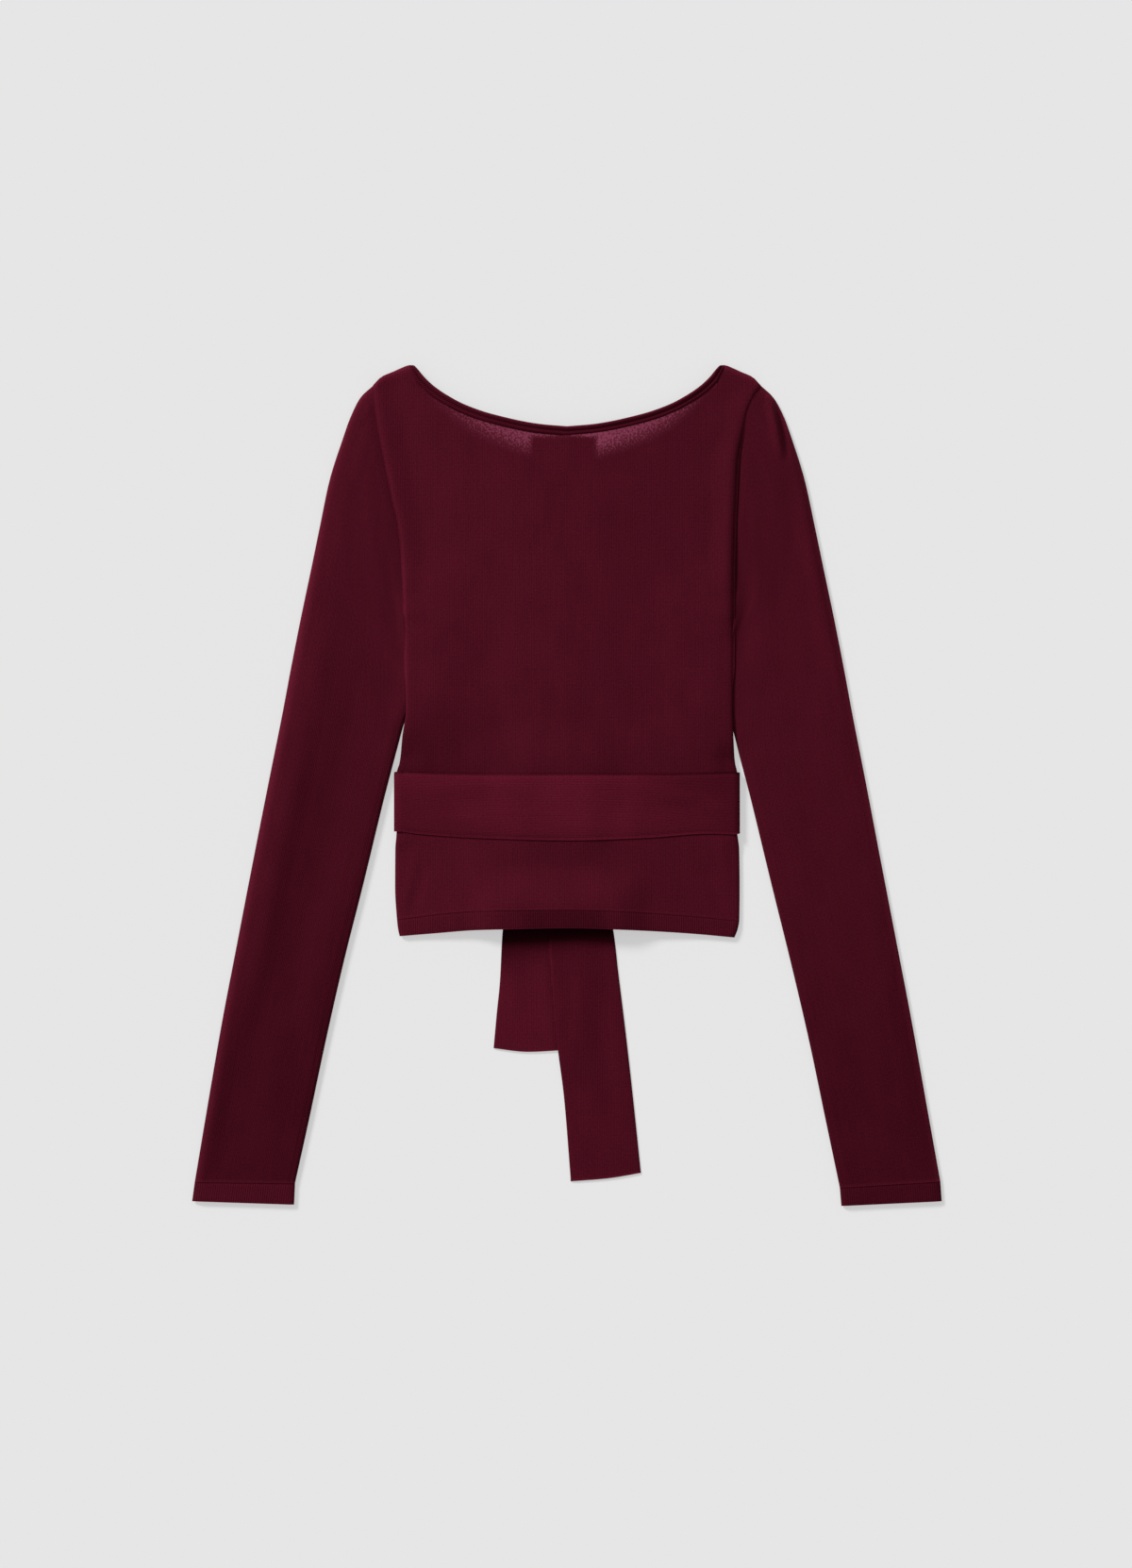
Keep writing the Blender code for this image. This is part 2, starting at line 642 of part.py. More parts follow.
def make_belt():
    """The sash: from the knot under the front, round one side, across the back and round the other."""
    x, y = panel_plan(BACK_NECK_DROP)
    rows = slice(ROWS_HEM_TO_BELT, ROWS_HEM_TO_BELT + ROWS_BELT + 1)
    flat = len(FOLD_STEPS) - 1
    columns = slice(flat, x.shape[1] - flat)
    back_x, back_y = x[rows, columns], y[rows, columns]
    back_low = lift(back_x, back_y) + 2 * HALF + REST_GAP
    share = np.linspace(0, 1, ROWS_BELT + 1)
    low, high = BELT_REST_Y
    rest_y = low + (high - low) * share
    knot_y = KNOT["y"] + (2 * share - 1) * KNOT_INLET * KNOT["half_y"]
    middle = BELT_WALL + REST_GAP + HALF

    def side_parts(sign):
        """Fold and resting stretch at one side, from the back's end to the knot."""
        edge = 0 if sign < 0 else -1
        start_x = back_x[:, edge]
        reach = FOLD_REACH + BELT_REACH
        outer, inner = [], []
        for degrees in BELT_TURN:
            cosine = math.cos(math.radians(degrees))
            sine = math.sin(math.radians(degrees))
            drift = (1 - sine) / 2
            fold_y = back_y[:, edge] * (1 - drift) + rest_y * drift
            outer_x = start_x + sign * reach * cosine
            inner_x = start_x + sign * (reach - BELT_WALL) * cosine
            outer.append(np.stack([outer_x, fold_y, 0 * fold_y + middle * (1 + sine)], axis=1))
            inner_z = middle + (middle - BELT_WALL) * sine
            inner.append(np.stack([inner_x, fold_y, 0 * fold_y + inner_z], axis=1))
        end_x = KNOT["x"] + sign * (KNOT["half_x"] + REST_GAP)
        for step in range(1, BELT_REST_STEPS + 1):
            gone = step / BELT_REST_STEPS
            step_x = start_x + (end_x - start_x) * gone
            narrowed = ramp(1 - gone, BELT_NARROWING)
            step_y = rest_y * (1 - narrowed) + knot_y * narrowed
            outer.append(np.stack([step_x, step_y, 0 * step_y], axis=1))
            inner.append(np.stack([step_x, step_y, 0 * step_y + BELT_WALL], axis=1))
        return outer, inner

    left_outer, left_inner = side_parts(-1)
    right_outer, right_inner = side_parts(1)
    back_inner = list(np.stack([back_x, back_y, back_low], axis=-1).transpose(1, 0, 2))
    back_outer = list(np.stack([back_x, back_y, back_low + BELT_WALL], axis=-1).transpose(1, 0, 2))
    outer = np.array(left_outer[::-1] + back_outer + right_outer)
    inner = np.array(left_inner[::-1] + back_inner + right_inner)
    return shell("belt", outer, inner, WINE_SASH)


def make_knot():
    """Flat knot under the front: a pad with a wrapped band across its middle."""
    along = np.sin(np.linspace(-1, 1, KNOT_CELLS + 1) * math.pi / 2)
    p, q = np.meshgrid(along, along)
    x = KNOT["x"] + KNOT["half_x"] * p * np.sqrt(1 - KNOT_ROUNDNESS * q * q)
    y = KNOT["y"] + KNOT["half_y"] * q * np.sqrt(1 - KNOT_ROUNDNESS * p * p)
    crown = np.sqrt(np.clip(1 - p ** 4, 0, 1)) * np.sqrt(np.clip(1 - q ** 4, 0, 1))
    wrapped = ramp(abs(x - KNOT["x"]) - KNOT_WRAP_HALF, KNOT_WRAP_EDGE)
    share = KNOT_SHARES["edge"] + (KNOT_SHARES["crown"] + KNOT_SHARES["wrap"] * wrapped) * crown
    height = KNOT["height"] * share
    top = np.stack([x, y, height], axis=-1)
    bottom = np.stack([x, y, 0 * x], axis=-1)
    return shell("belt_knot", top, bottom, WINE_SASH)


def end_plan(table, bow):
    """Grid of one end of the sash in plan, from the knot to its cut edge."""
    down = np.linspace(0, 1, TAIL_ROWS + 1)[:, None]
    over = np.linspace(0, 1, TAIL_COLUMNS + 1)[None, :]
    top, bottom = table[0]["y"], table[-1]["y"]
    cut = bottom + smooth([0, 0.5, 1], bow, over)
    y = top + (cut - top) * down
    heights = -column(table, "y")
    left = smooth(heights, column(table, "left"), -y)
    right = smooth(heights, column(table, "right"), -y)
    return left + (right - left) * over, y


def make_end(name, table, bow, rest):
    x, y = end_plan(table, bow)
    low = rest(x, y)
    top = np.stack([x, y, low + BELT_WALL], axis=-1)
    bottom = np.stack([x, y, low], axis=-1)
    return shell(name, top, bottom, WINE_SASH)


def over_short_end(x, y):
    """Height that the long end rests at: on the short end, then down to the surface beside it."""
    right = smooth(-column(SHORT_END, "y"), column(SHORT_END, "right"), -y)
    beside = np.maximum(x - right, SHORT_END[-1]["y"] - y) - TAIL_MARGIN
    return (BELT_WALL + REST_GAP) * ramp(beside, TAIL_EDGE_RAMP)


def make_label():
    """Plain cloth tab inside the back neck, which shows through the knit."""
    x = NECK_LABEL["x"] + NECK_LABEL["width"] * np.array([-0.5, -0.25, 0, 0.25, 0.5])
    y = NECK_LABEL["top"] - NECK_LABEL["depth"] * np.array([0, 0.5, 1])
    x, y = np.meshgrid(x, y)
    top = np.stack([x, y, 0 * x + NECK_LABEL["high"]], axis=-1)
    bottom = np.stack([x, y, 0 * x + NECK_LABEL["low"]], axis=-1)
    return shell("neck_label", top, bottom, WINE_DEEP)


def centre_outline(pieces):
    """Put the origin under the middle of the outline."""
    corners = np.array([vertex.co for piece in pieces for vertex in piece.data.vertices])
    middle = (corners.min(axis=0) + corners.max(axis=0)) / 2
    for piece in pieces:
        piece.data.transform(Matrix.Translation((-middle[0], -middle[1], 0)))


def main():
    for old in list(bpy.data.objects):
        bpy.data.objects.remove(old)
    make_panel("back_panel", 1, BACK_NECK_DROP)
    make_panel("front_panel", -1, FRONT_NECK_DROP)
    make_sleeve("sleeve_left", "left", -1, LEFT_SLEEVE)
    make_sleeve("sleeve_right", "right", 1, RIGHT_SLEEVE)
    make_cuff("cuff_left", -1, LEFT_SLEEVE, CUFFS[0])
    make_cuff("cuff_right", 1, RIGHT_SLEEVE, CUFFS[1])
    make_hem_band("hem_band_back", 1, BAND_PROUD)
    make_hem_band("hem_band_front", -1, 0.0)
    make_neckband("neckband_back", 1, BACK_NECK_DROP, NECK_PROUD)
    make_neckband("neckband_front", -1, FRONT_NECK_DROP, 0.0)
    make_belt()
    make_knot()
    make_end("belt_end_short", SHORT_END, SHORT_END_BOW, lambda x, y: 0 * x)
    make_end("belt_end_long", LONG_END, LONG_END_BOW, over_short_end)
    make_label()
    centre_outline(list(bpy.data.objects))


main()
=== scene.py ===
"""Looks of a cropped knit top with a boat neck, long slim sleeves and a tied waist sash.

The garment lies flat, back up. Sizes and tables are in millimetres and meshes are written in
metres. X runs across the garment, Y from hem to neck, and Z up from the surface that it lies on.
"Left" is the side of lower X.
"""
import math

import bpy
import numpy as np
from mathutils import Matrix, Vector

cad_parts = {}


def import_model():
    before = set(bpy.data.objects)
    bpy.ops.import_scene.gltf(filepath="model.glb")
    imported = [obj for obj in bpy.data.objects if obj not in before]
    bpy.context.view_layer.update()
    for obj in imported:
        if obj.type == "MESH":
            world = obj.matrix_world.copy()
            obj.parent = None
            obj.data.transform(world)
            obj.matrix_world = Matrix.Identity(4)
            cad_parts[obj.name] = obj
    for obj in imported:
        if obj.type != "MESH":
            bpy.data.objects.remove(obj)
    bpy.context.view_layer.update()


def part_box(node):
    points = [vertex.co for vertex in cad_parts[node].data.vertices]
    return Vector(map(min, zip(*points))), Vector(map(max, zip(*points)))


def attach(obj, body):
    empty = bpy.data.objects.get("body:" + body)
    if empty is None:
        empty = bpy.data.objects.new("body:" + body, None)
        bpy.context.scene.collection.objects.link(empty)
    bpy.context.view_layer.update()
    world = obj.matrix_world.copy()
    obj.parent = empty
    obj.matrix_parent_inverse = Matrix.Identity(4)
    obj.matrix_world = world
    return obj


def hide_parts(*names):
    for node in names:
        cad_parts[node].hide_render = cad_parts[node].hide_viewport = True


MM = 0.001
UP, DOWN = 1, -1  # the way that a layer faces
LEFT, RIGHT = -1, 1  # sign of X on each side


def named_rows(columns, *rows):
    """A table, from the names of its columns and its rows of numbers."""
    return [dict(zip(columns.split(), row, strict=True)) for row in rows]


# Cloth
WALL = 1.2  # knit of the panels and the sleeves
LAYER_GAP = 1.2  # air between a back and a front layer
HALF = WALL + LAYER_GAP / 2
REST_GAP = 0.3  # between two layers that lie on each other
SEAM_GAP = 0.1  # between two pieces at a seam
BAND_PROUD = 0.4  # hem and cuff bands, above the panel beside them
NECK_PROUD = 0.2
FLUSH = 0.0
SIDE_REACH = 4.5  # how far in from the body's edges the cloth rounds over
SLEEVE_REACH = 9.0  # and from the sleeves' outer edges
INNER_REACH = 5.0
FOLD_COLUMNS = 7  # columns of points in a rounding
SLEEVE_FOLD_COLUMNS = 9

# Body
SHOULDER_Y = 330.3  # outer end of the shoulder seam
SHOULDER_X = 160.0
NECK_POINT_X = 126.0  # tip of the neck opening
NECK_POINT_Y = 346.6
UNDERARM_Y = 162.0
BACK_NECK_DROP = 50.6
FRONT_NECK_DROP = 73.6
NECKBAND_WIDTH = 7.5

# Waist sash
BELT_WALL = 1.4
BELT_WIDTH = 56.0
BELT_REACH = 2.3  # how far its folds stand outside the body's edge
BELT_REST_Y = (-38.0, 10.0)  # lower and upper edge of the stretch under the front
BELT_TURN = range(78, -91, -12)  # degrees of its fold, from the back to the front
BELT_NARROWING = 0.5  # share of the front stretch in which it narrows to the knot
BELT_INLET = 1.7  # its width at the knot, in halves of the knot's
BELT_EDGE = dict(power=24, thin=0.6)  # how squarely its edges end, and how thin
END_EDGE = dict(power=14, thin=0.5)  # and those of its ends
KNOT = dict(x=-8.6, y=-15.2, half_x=18.0, half_y=19.0, height=6.0)
KNOT_WRAP_HALF = 9.0  # half the width of the band round its middle
KNOT_WRAP_EDGE = 3.0  # how softly that band ends
KNOT_ROUNDNESS = 0.25  # how much its corners draw in
KNOT_CROWN_POWER = 4  # how squarely its top falls to its edges
KNOT_SHARES = dict(edge=0.35, crown=0.5, wrap=0.15)  # of its height
TAIL_CENTRE_X = -7.0
TAIL_HALF = 46.0

# How softly a layer comes down beside what it lies on
MARGIN = 4.0
BELT_RAMP = 14.0
KNOT_RAMP = 18.0
TAIL_RAMP = 28.0
SIDE_RAMP = 22.0
SOFT_TAIL_RAMP = 26.0
TAIL_MARGIN = 6.0
SLEEVE_TUCK = 10.0  # deepest reach of a sleeve's inner edge under the body
UNDERARM_SETTLE = 24.0  # how far below the underarm the body starts to come down
UNDERARM_RAMP = 22.0
BACK_SPREAD = 2.8  # how much more softly the back comes down than the front
HIGHEST_WINS = 4  # how clearly the highest of several things carries the cloth

# Where the sleeves lie under the body: up to the full height, then fading out
SLEEVES_UNDER = [
    dict(side="left", sign=LEFT, full_height=46.0, fade=30.0),
    dict(side="right", sign=RIGHT, full_height=38.0, fade=24.0),
]

# Body edge from hem to shoulder point: the left and right X at each height
BODY_EDGE = named_rows(
    "y left right",
    (-126.0, -137.9, 138.3),
    (-118.2, -139.6, 141.2),
    (-111.2, -140.4, 142.4),
    (-83.9, -142.0, 142.7),
    (-52.7, -141.8, 142.3),
    (-38.0, -140.6, 140.6),
    (10.0, -140.6, 140.6),
    (19.1, -138.1, 138.7),
    (41.0, -135.7, 137.3),
    (63.6, -132.7, 136.5),
    (103.4, -133.4, 136.8),
    (150.2, -134.2, 137.2),
    (178.2, -135.3, 137.3),
    (211.0, -138.1, 138.1),
    (239.1, -143.9, 139.3),
    (267.2, -149.8, 140.8),
    (292.9, -154.8, 145.5),
    (306.9, -156.8, 148.2),
    (316.3, -158.3, 151.8),
    (330.3, -160.0, 160.0),
)

# Curves across the body, as a height at each X
HEM_SEAM = named_rows(
    "x y",
    (-140.0, -111.0),
    (-85.0, -104.4),
    (-50.0, -102.9),
    (3.0, -102.3),
    (46.5, -103.8),
    (90.0, -107.1),
    (140.0, -112.1),
)
HEM_EDGE = named_rows(
    "x y",
    (-138.0, -124.6),
    (-107.0, -122.0),
    (-74.0, -119.3),
    (-53.0, -118.5),
    (3.0, -117.5),
    (37.0, -118.5),
    (68.0, -120.2),
    (101.0, -122.4),
    (138.4, -125.7),
)
BELT_LOWER = named_rows(
    "x y",
    (-143.0, -36.3),
    (-118.0, -40.2),
    (-63.0, -43.7),
    (0.0, -45.2),
    (62.0, -43.3),
    (116.0, -39.8),
    (143.0, -41.0),
)
BELT_UPPER = named_rows(
    "x y",
    (-143.0, 12.1),
    (-121.0, 10.9),
    (-63.0, 9.8),
    (77.0, 9.8),
    (143.0, 11.3),
)
SHOULDER = named_rows(
    "x y",
    (126.0, 346.9),
    (130.0, 347.1),
    (135.7, 345.2),
    (144.3, 341.3),
    (152.9, 337.4),
    (160.0, 330.3),
)
# Back neck opening: rise above its lowest point at each distance from the middle
NECK_RISE = named_rows(
    "x y",
    (0.0, 0.0),
    (22.0, 1.9),
    (61.6, 10.2),
    (84.0, 18.0),
    (98.7, 25.8),
    (110.0, 33.6),
    (118.2, 41.4),
    (123.2, 47.6),
    (126.0, 50.6),
)

# Sleeves: the ends of each section from the armhole down to the cuff's seam, and the cuff's edge
LEFT_SLEEVE = named_rows(
    "outer_x outer_y inner_x inner_y",
    (-160.3, 330.2, -134.9, 162.0),
    (-170.5, 320.5, -134.9, 155.0),
    (-178.5, 305.0, -134.8, 147.0),
    (-186.5, 282.5, -134.6, 138.0),
    (-196.0, 252.5, -130.5, 122.0),
    (-204.4, 212.6, -125.5, 105.0),
    (-211.5, 178.0, -123.7, 90.0),
    (-219.5, 140.0, -127.0, 70.0),
    (-228.0, 97.0, -134.5, 51.0),
    (-235.6, 56.6, -140.3, 30.0),
    (-245.0, 10.0, -150.3, -8.0),
    (-260.5, -68.3, -168.3, -82.0),
    (-273.0, -133.0, -184.9, -148.0),
    (-284.9, -195.0, -199.0, -210.0),
    (-297.0, -265.0, -212.8, -275.0),
    (-307.5, -327.5, -224.6, -328.5),
)
RIGHT_SLEEVE = named_rows(
    "outer_x outer_y inner_x inner_y",
    (160.3, 330.2, 137.7, 162.0),
    (170.5, 320.5, 137.8, 155.0),
    (178.8, 305.5, 137.8, 147.0),
    (186.8, 283.5, 137.7, 138.0),
    (196.4, 252.5, 134.5, 122.0),
    (205.1, 212.6, 129.0, 105.0),
    (212.3, 178.0, 127.0, 88.0),
    (220.3, 140.0, 130.0, 66.0),
    (228.8, 97.0, 137.8, 43.0),
    (236.3, 56.6, 142.6, 24.0),
    (245.5, 10.0, 151.0, -8.0),
    (260.5, -68.3, 169.0, -82.0),
    (273.0, -133.0, 185.8, -150.0),
    (284.9, -195.0, 200.0, -211.0),
    (297.4, -265.0, 213.6, -276.0),
    (308.5, -327.0, 225.4, -332.2),
)
LEFT_CUFF = dict(outer_x=-309.7, outer_y=-343.4, inner_x=-225.4, inner_y=-346.2)
RIGHT_CUFF = dict(outer_x=309.7, outer_y=-343.4, inner_x=226.7, inner_y=-347.3)

# Ends of the sash below the knot: the left and right X at each height
SHORT_END = named_rows(
    "y left right",
    (-34.5, -24.0, 2.5),
    (-76.0, -41.0, 7.0),
    (-119.0, -53.0, 4.0),
    (-161.9, -55.4, 2.3),
    (-189.0, -58.1, 0.0),
    (-219.0, -60.8, -3.1),
)
LONG_END = named_rows(
    "y left right",
    (-34.5, -17.9, 7.5),
    (-76.0, -17.9, 24.2),
    (-119.0, -15.6, 38.2),
    (-154.0, -13.3, 42.4),
    (-208.7, -8.6, 49.1),
    (-259.4, -2.3, 54.8),
    (-324.5, 3.0, 61.6),
)
SHORT_END_BOW = (1.8, -1.2, 0.2)  # its cut edge at the left, middle and right, above the last row
LONG_END_BOW = (-2.7, -0.4, 4.3)

NECK_LABEL = dict(x=-2.7, top=287.4, width=54.0, depth=22.0, low=1.55, high=2.1)


def column(table, name):
    return np.array([row[name] for row in table], float)


def smooth(knots, values, at):
    """Smooth curve through a table's rows that never swings past them."""
    knots = np.asarray(knots, float)
    values = np.asarray(values, float)
    at = np.clip(np.asarray(at, float), knots[0], knots[-1])
    steps = np.diff(knots)
    rates = np.diff(values) / steps
    product = rates[:-1] * rates[1:]
    total = rates[:-1] + rates[1:]
    slopes = np.empty_like(values)
    slopes[1:-1] = np.where(product > 0, 2 * product / np.where(total == 0, 1, total), 0)
    slopes[0] = rates[0]
    slopes[-1] = rates[-1]
    i = np.clip(np.searchsorted(knots, at, side="right") - 1, 0, len(knots) - 2)
    t = (at - knots[i]) / steps[i]
    start = values[i] * (1 + 2 * t) * (1 - t) ** 2 + slopes[i] * steps[i] * t * (1 - t) ** 2
    end = values[i + 1] * t * t * (3 - 2 * t) + slopes[i + 1] * steps[i] * t * t * (t - 1)
    return start + end


def look_up(table, name, at):
    """Smooth curve of a column of a table over its first column."""
    return smooth(column(table, next(iter(table[0]))), column(table, name), at)


def across(table, x):
    return look_up(table, "y", x)


def body_edge(side, y):
    return look_up(BODY_EDGE, side, y)


def body_edges(y):
    return body_edge("left", y), body_edge("right", y)


def from_sides(x, y):
    """Distance in from the nearer side of the body."""
    left, right = body_edges(y)
    return np.minimum(x - left, right - x)


def end_edge(table, side, y):
    """Edge of an end of the sash, whose table runs downwards."""
    return smooth(-column(table, "y"), column(table, side), -y)


def stacked(*parts):
    return np.stack(parts, axis=-1)


def ramp(distance, length):
    """1 up to a distance of 0, then falling smoothly to 0 at the length."""
    t = np.clip(distance / length, 0, 1)
    return 1 - t * t * (3 - 2 * t)


def lift(x, y, spread=1.0):
    """Underside of the body: how high what lies under it holds the front, at each point.

    A spread over 1 makes it come down more softly beside what holds it.
    """
    low, high = BELT_REST_Y
    belt_away = np.maximum(y - high, low - y) - MARGIN
    belt = (BELT_WALL + REST_GAP) * ramp(belt_away, spread * BELT_RAMP)
    knot_away = np.hypot(
        np.maximum(abs(x - KNOT["x"]) - KNOT["half_x"], 0),
        np.maximum(abs(y - KNOT["y"]) - KNOT["half_y"], 0),
    ) - MARGIN
    knot = (KNOT["height"] + REST_GAP) * ramp(knot_away, spread * KNOT_RAMP)
    tails_high = 2 * (BELT_WALL + REST_GAP) + REST_GAP / 2
    tails = tails_high * ramp(abs(x - TAIL_CENTRE_X) - TAIL_HALF - MARGIN, spread * TAIL_RAMP)
    tails = tails * ramp(y - low, spread * KNOT_RAMP)
    sleeve_high = 2 * HALF + REST_GAP
    sleeves = 0
    for row in SLEEVES_UNDER:
        inboard = abs(body_edge(row["side"], y) - x) - SLEEVE_TUCK - MARGIN
        along = ramp(row["full_height"] - y, spread * row["fade"])
        along = along * ramp(y - (UNDERARM_Y - UNDERARM_SETTLE), spread * UNDERARM_RAMP)
        here = sleeve_high * along * ramp(inboard, spread * SIDE_RAMP)
        sleeves = sleeves + np.where(row["sign"] * x > 0, here, 0)
    held = belt ** HIGHEST_WINS + knot ** HIGHEST_WINS + tails ** HIGHEST_WINS
    return (held + sleeves ** HIGHEST_WINS) ** (1 / HIGHEST_WINS)


# Finer grid than the frame's
CELL = 2.6  # spacing of points on the cloth
SLEEVE_SECTIONS = 290
SLEEVE_COLUMNS = 56
SLEEVE_WIDTH = 150.0  # nominal, for the share of it that its roundings take
CUFF_COLUMNS = 34
CUFF_LEVELS = 13
CUFF_WIDTH = 84.0
CUFF_LENGTH = 17.0
COARSE_CELL = 6.0  # on layers that lie underneath
HEM_LEVELS = {UP: 13, DOWN: 5}
NECKBAND_LEVELS = {UP: 23, DOWN: 5}
NECKBAND_POINTS = {UP: 181, DOWN: 81}
NECK_SAMPLES = 401
BELT_LEVELS = 23
BELT_REST_COLUMNS = 25
KNOT_POINTS = 41
END_POINTS = dict(down=121, over=31)
LABEL_POINTS = dict(across=28, down=12)

# What the photo shows beyond the frame's flat layers
ARMHOLE_RAISE = dict(left=3.4, right=3.8)  # how far the body's edge stands on the sleeve seam
ARMHOLE_RAISE_RAMP = 22.0
ARMHOLE_FADE = 30.0  # stretch below the underarm in which it comes down
ARMHOLE_TOP = dict(left=0.3, right=0.6, ramp=80.0)  # how much lower it stands at the shoulder
UNDERARM_JOIN = 8.0  # above the underarm, the front's edge comes up to the back's
# How far the sleeve runs on under the body's side
UNDERARM_TUCK = dict(reach=4.5, ramp=40.0, rows=2.0, fade_rows=2.5)
ARMHOLE_ROWS = 4  # rows of a sleeve's table in which its sections straighten out
# How far the sleeve's top sinks beside the armhole
SLEEVE_DIP = dict(left=0.5, right=0.3, reach=8.0, fade=20.0)
UNDERARM_SEAM = dict(depth=0.5, inboard=4.2, width=0.9, rows=1.0)
RELIEF_REACH = 9.0  # how far in from a sleeve's edges its relief starts
FOLD_REACH = 2.5  # and how far in its folds start
SLEEVE_TUCKED = 3.0  # how far the sleeve's top runs on under the body's edge
FULLNESS = 0.3  # power of a sine that makes it nearly full from edge to edge
FOLD_FADE = 0.8  # power of a sine that a soft fold fades with at its ends
BEAD = dict(depth=0.7, power=6, least=0.05)  # how a hem or cuff band thins at its edges
HEM_RAISE = 5.0  # the hem stands over the ends of the sash
HEM_RAISE_RAMP = 34.0
HEM_RAISE_TO_Y = -66.0  # the raise has gone by here
BODY_CROWN = dict(height=3.0, from_y=40.0, ramp=60.0)
SOFT_FROM_EDGE = 24.0  # the back's own forms start this far in from its sides
BACK_OVERHANG = 1.4  # how far the back's edge hangs over the sleeves
OVERHANG_FROM_Y = 100.0
OVERHANG_RAMP = 26.0
BAND_END_RAMP = 12.0  # stretch in which the neckband's end is drawn up to the shoulder
BAND_OVERLAP = 1.0  # how far the neckband runs over the panel
NOMINAL_WIDTH = 275.0  # body width that the column distances are given for
NECK_SEAM_FROM_EDGE = 0.0844  # end of the neck seam, as a share of the width
FAR_TOP = 1000.0  # a top edge too far away to round over

# Relief of the sleeves' tops: heights at stations from the outer edge, 0, to the inner one, 1,
# and the tone, darker towards the cuff, at each place from the armhole, 0, to the cuff, 1
RELIEF_STATIONS = dict(
    edge=0.0, outer=0.08, hump=0.22, trough=0.40, middle=0.60, inner=0.80, seam=0.96,
)
LEFT_RELIEF = named_rows(
    "along edge outer hump trough middle inner seam tone",
    (0.00, 0.0, 0.9, 0.9, 0.9, 0.9, 0.9, 0.9, 1.00),
    (0.07, 0.0, 1.0, 1.7, 1.9, 1.5, 1.2, 1.8, 1.00),
    (0.18, 0.0, 1.4, 2.4, 2.5, 1.7, 1.1, 2.6, 1.00),
    (0.29, 0.0, 1.5, 2.2, 2.0, 2.3, 1.5, 3.2, 0.99),
    (0.42, 0.0, 3.0, 3.6, 2.4, 1.4, 1.3, 3.0, 0.95),
    (0.61, 0.0, 4.0, 5.7, 3.2, 0.9, 1.1, 1.9, 0.88),
    (0.80, 0.0, 2.6, 4.4, 2.2, 1.0, 2.1, 1.2, 0.78),
    (0.91, 0.0, 2.0, 0.9, 1.2, 1.9, 1.2, 0.9, 0.71),
    (1.00, 0.0, 0.4, 0.4, 0.4, 0.4, 0.4, 0.4, 0.72),
)
RIGHT_RELIEF = named_rows(
    "along edge outer hump trough middle inner seam tone",
    (0.00, 0.0, 0.9, 0.9, 0.9, 0.9, 0.9, 0.9, 0.90),
    (0.07, 0.0, 1.0, 2.0, 2.0, 2.2, 0.6, 1.0, 0.90),
    (0.18, 0.0, 1.7, 2.3, 2.2, 3.0, 0.6, 2.2, 0.90),
    (0.29, 0.0, 1.8, 1.5, 2.1, 2.6, 0.4, 3.2, 0.92),
    (0.42, 0.0, 2.6, 1.6, 1.6, 2.5, 1.4, 0.5, 0.95),
    (0.61, 0.0, 1.2, 1.8, 1.8, 1.9, 2.1, 1.4, 0.92),
    (0.80, 0.0, 0.8, 2.1, 1.8, 1.5, 1.3, 1.0, 0.80),
    (0.91, 0.0, 0.5, 1.6, 2.1, 1.6, 1.4, 1.0, 0.70),
    (1.00, 0.0, 0.4, 0.4, 0.4, 0.4, 0.4, 0.4, 0.70),
)

# The neckband's two rolls from its seam, 0, to its edge, 1: height over the panel, and tone, with painted
# shade in its grooves and a painted highlight towards its edge
NECKBAND_PROFILE = named_rows(
    "level height tone",
    (0.00, -1.0, 0.60),
    (0.14, -0.2, 0.74),
    (0.32, 0.7, 0.92),
    (0.45, 0.6, 0.82),
    (0.53, 0.2, 0.62),
    (0.64, 1.0, 0.98),
    (0.84, 1.9, 1.20),
    (1.00, 0.4, 1.25),
)

# Soft folds: a ridge (height > 0) or trough between two points, fading at its ends
BODY_FOLDS = named_rows(
    "x0 y0 x1 y1 width height",
    (-137.0, -108.0, -124.0, -50.0, 3.4, 1.2),
    (-130.0, -110.0, -116.0, -66.0, 4.0, -0.8),
    (136.0, -84.0, 127.0, -42.0, 4.0, 1.2),
    (132.0, -108.0, 112.0, -66.0, 5.0, -0.8),
    (-118.0, 40.0, -100.0, 150.0, 16.0, 0.4),
    (-60.0, 30.0, -48.0, 210.0, 18.0, -0.5),
    (30.0, 24.0, 38.0, 190.0, 20.0, 0.5),
    (104.0, 30.0, 112.0, 160.0, 14.0, -0.6),
    (-142.0, 318.0, -96.0, 300.0, 10.0, 0.6),
    (140.0, 300.0, 100.0, 286.0, 12.0, 0.5),
)
LEFT_FOLDS = named_rows(
    "x0 y0 x1 y1 width height",
    (-176.0, 296.0, -150.0, 326.0, 6.0, 0.5),
    (-214.0, 60.0, -252.0, -120.0, 8.0, 0.4),
    (-262.0, -150.0, -286.0, -280.0, 8.0, 0.4),
)
RIGHT_FOLDS = named_rows(
    "x0 y0 x1 y1 width height",
    (166.0, 324.0, 177.5, 270.0, 3.2, 3.4),
    (173.0, 318.0, 184.0, 266.0, 2.8, -2.0),
    (214.0, 60.0, 252.0, -120.0, 9.0, -0.4),
    (262.0, -150.0, 286.0, -280.0, 8.0, 0.4),
)
BELT_FOLDS = named_rows(
    "x0 y0 x1 y1 width height",
    (-138.0, -4.0, -20.0, 4.0, 7.0, 0.6),
    (-142.0, -26.0, -60.0, -16.0, 8.0, -0.5),
    (20.0, -30.0, 140.0, -8.0, 9.0, -0.5),
    (40.0, 2.0, 141.0, -22.0, 6.0, 0.5),
)
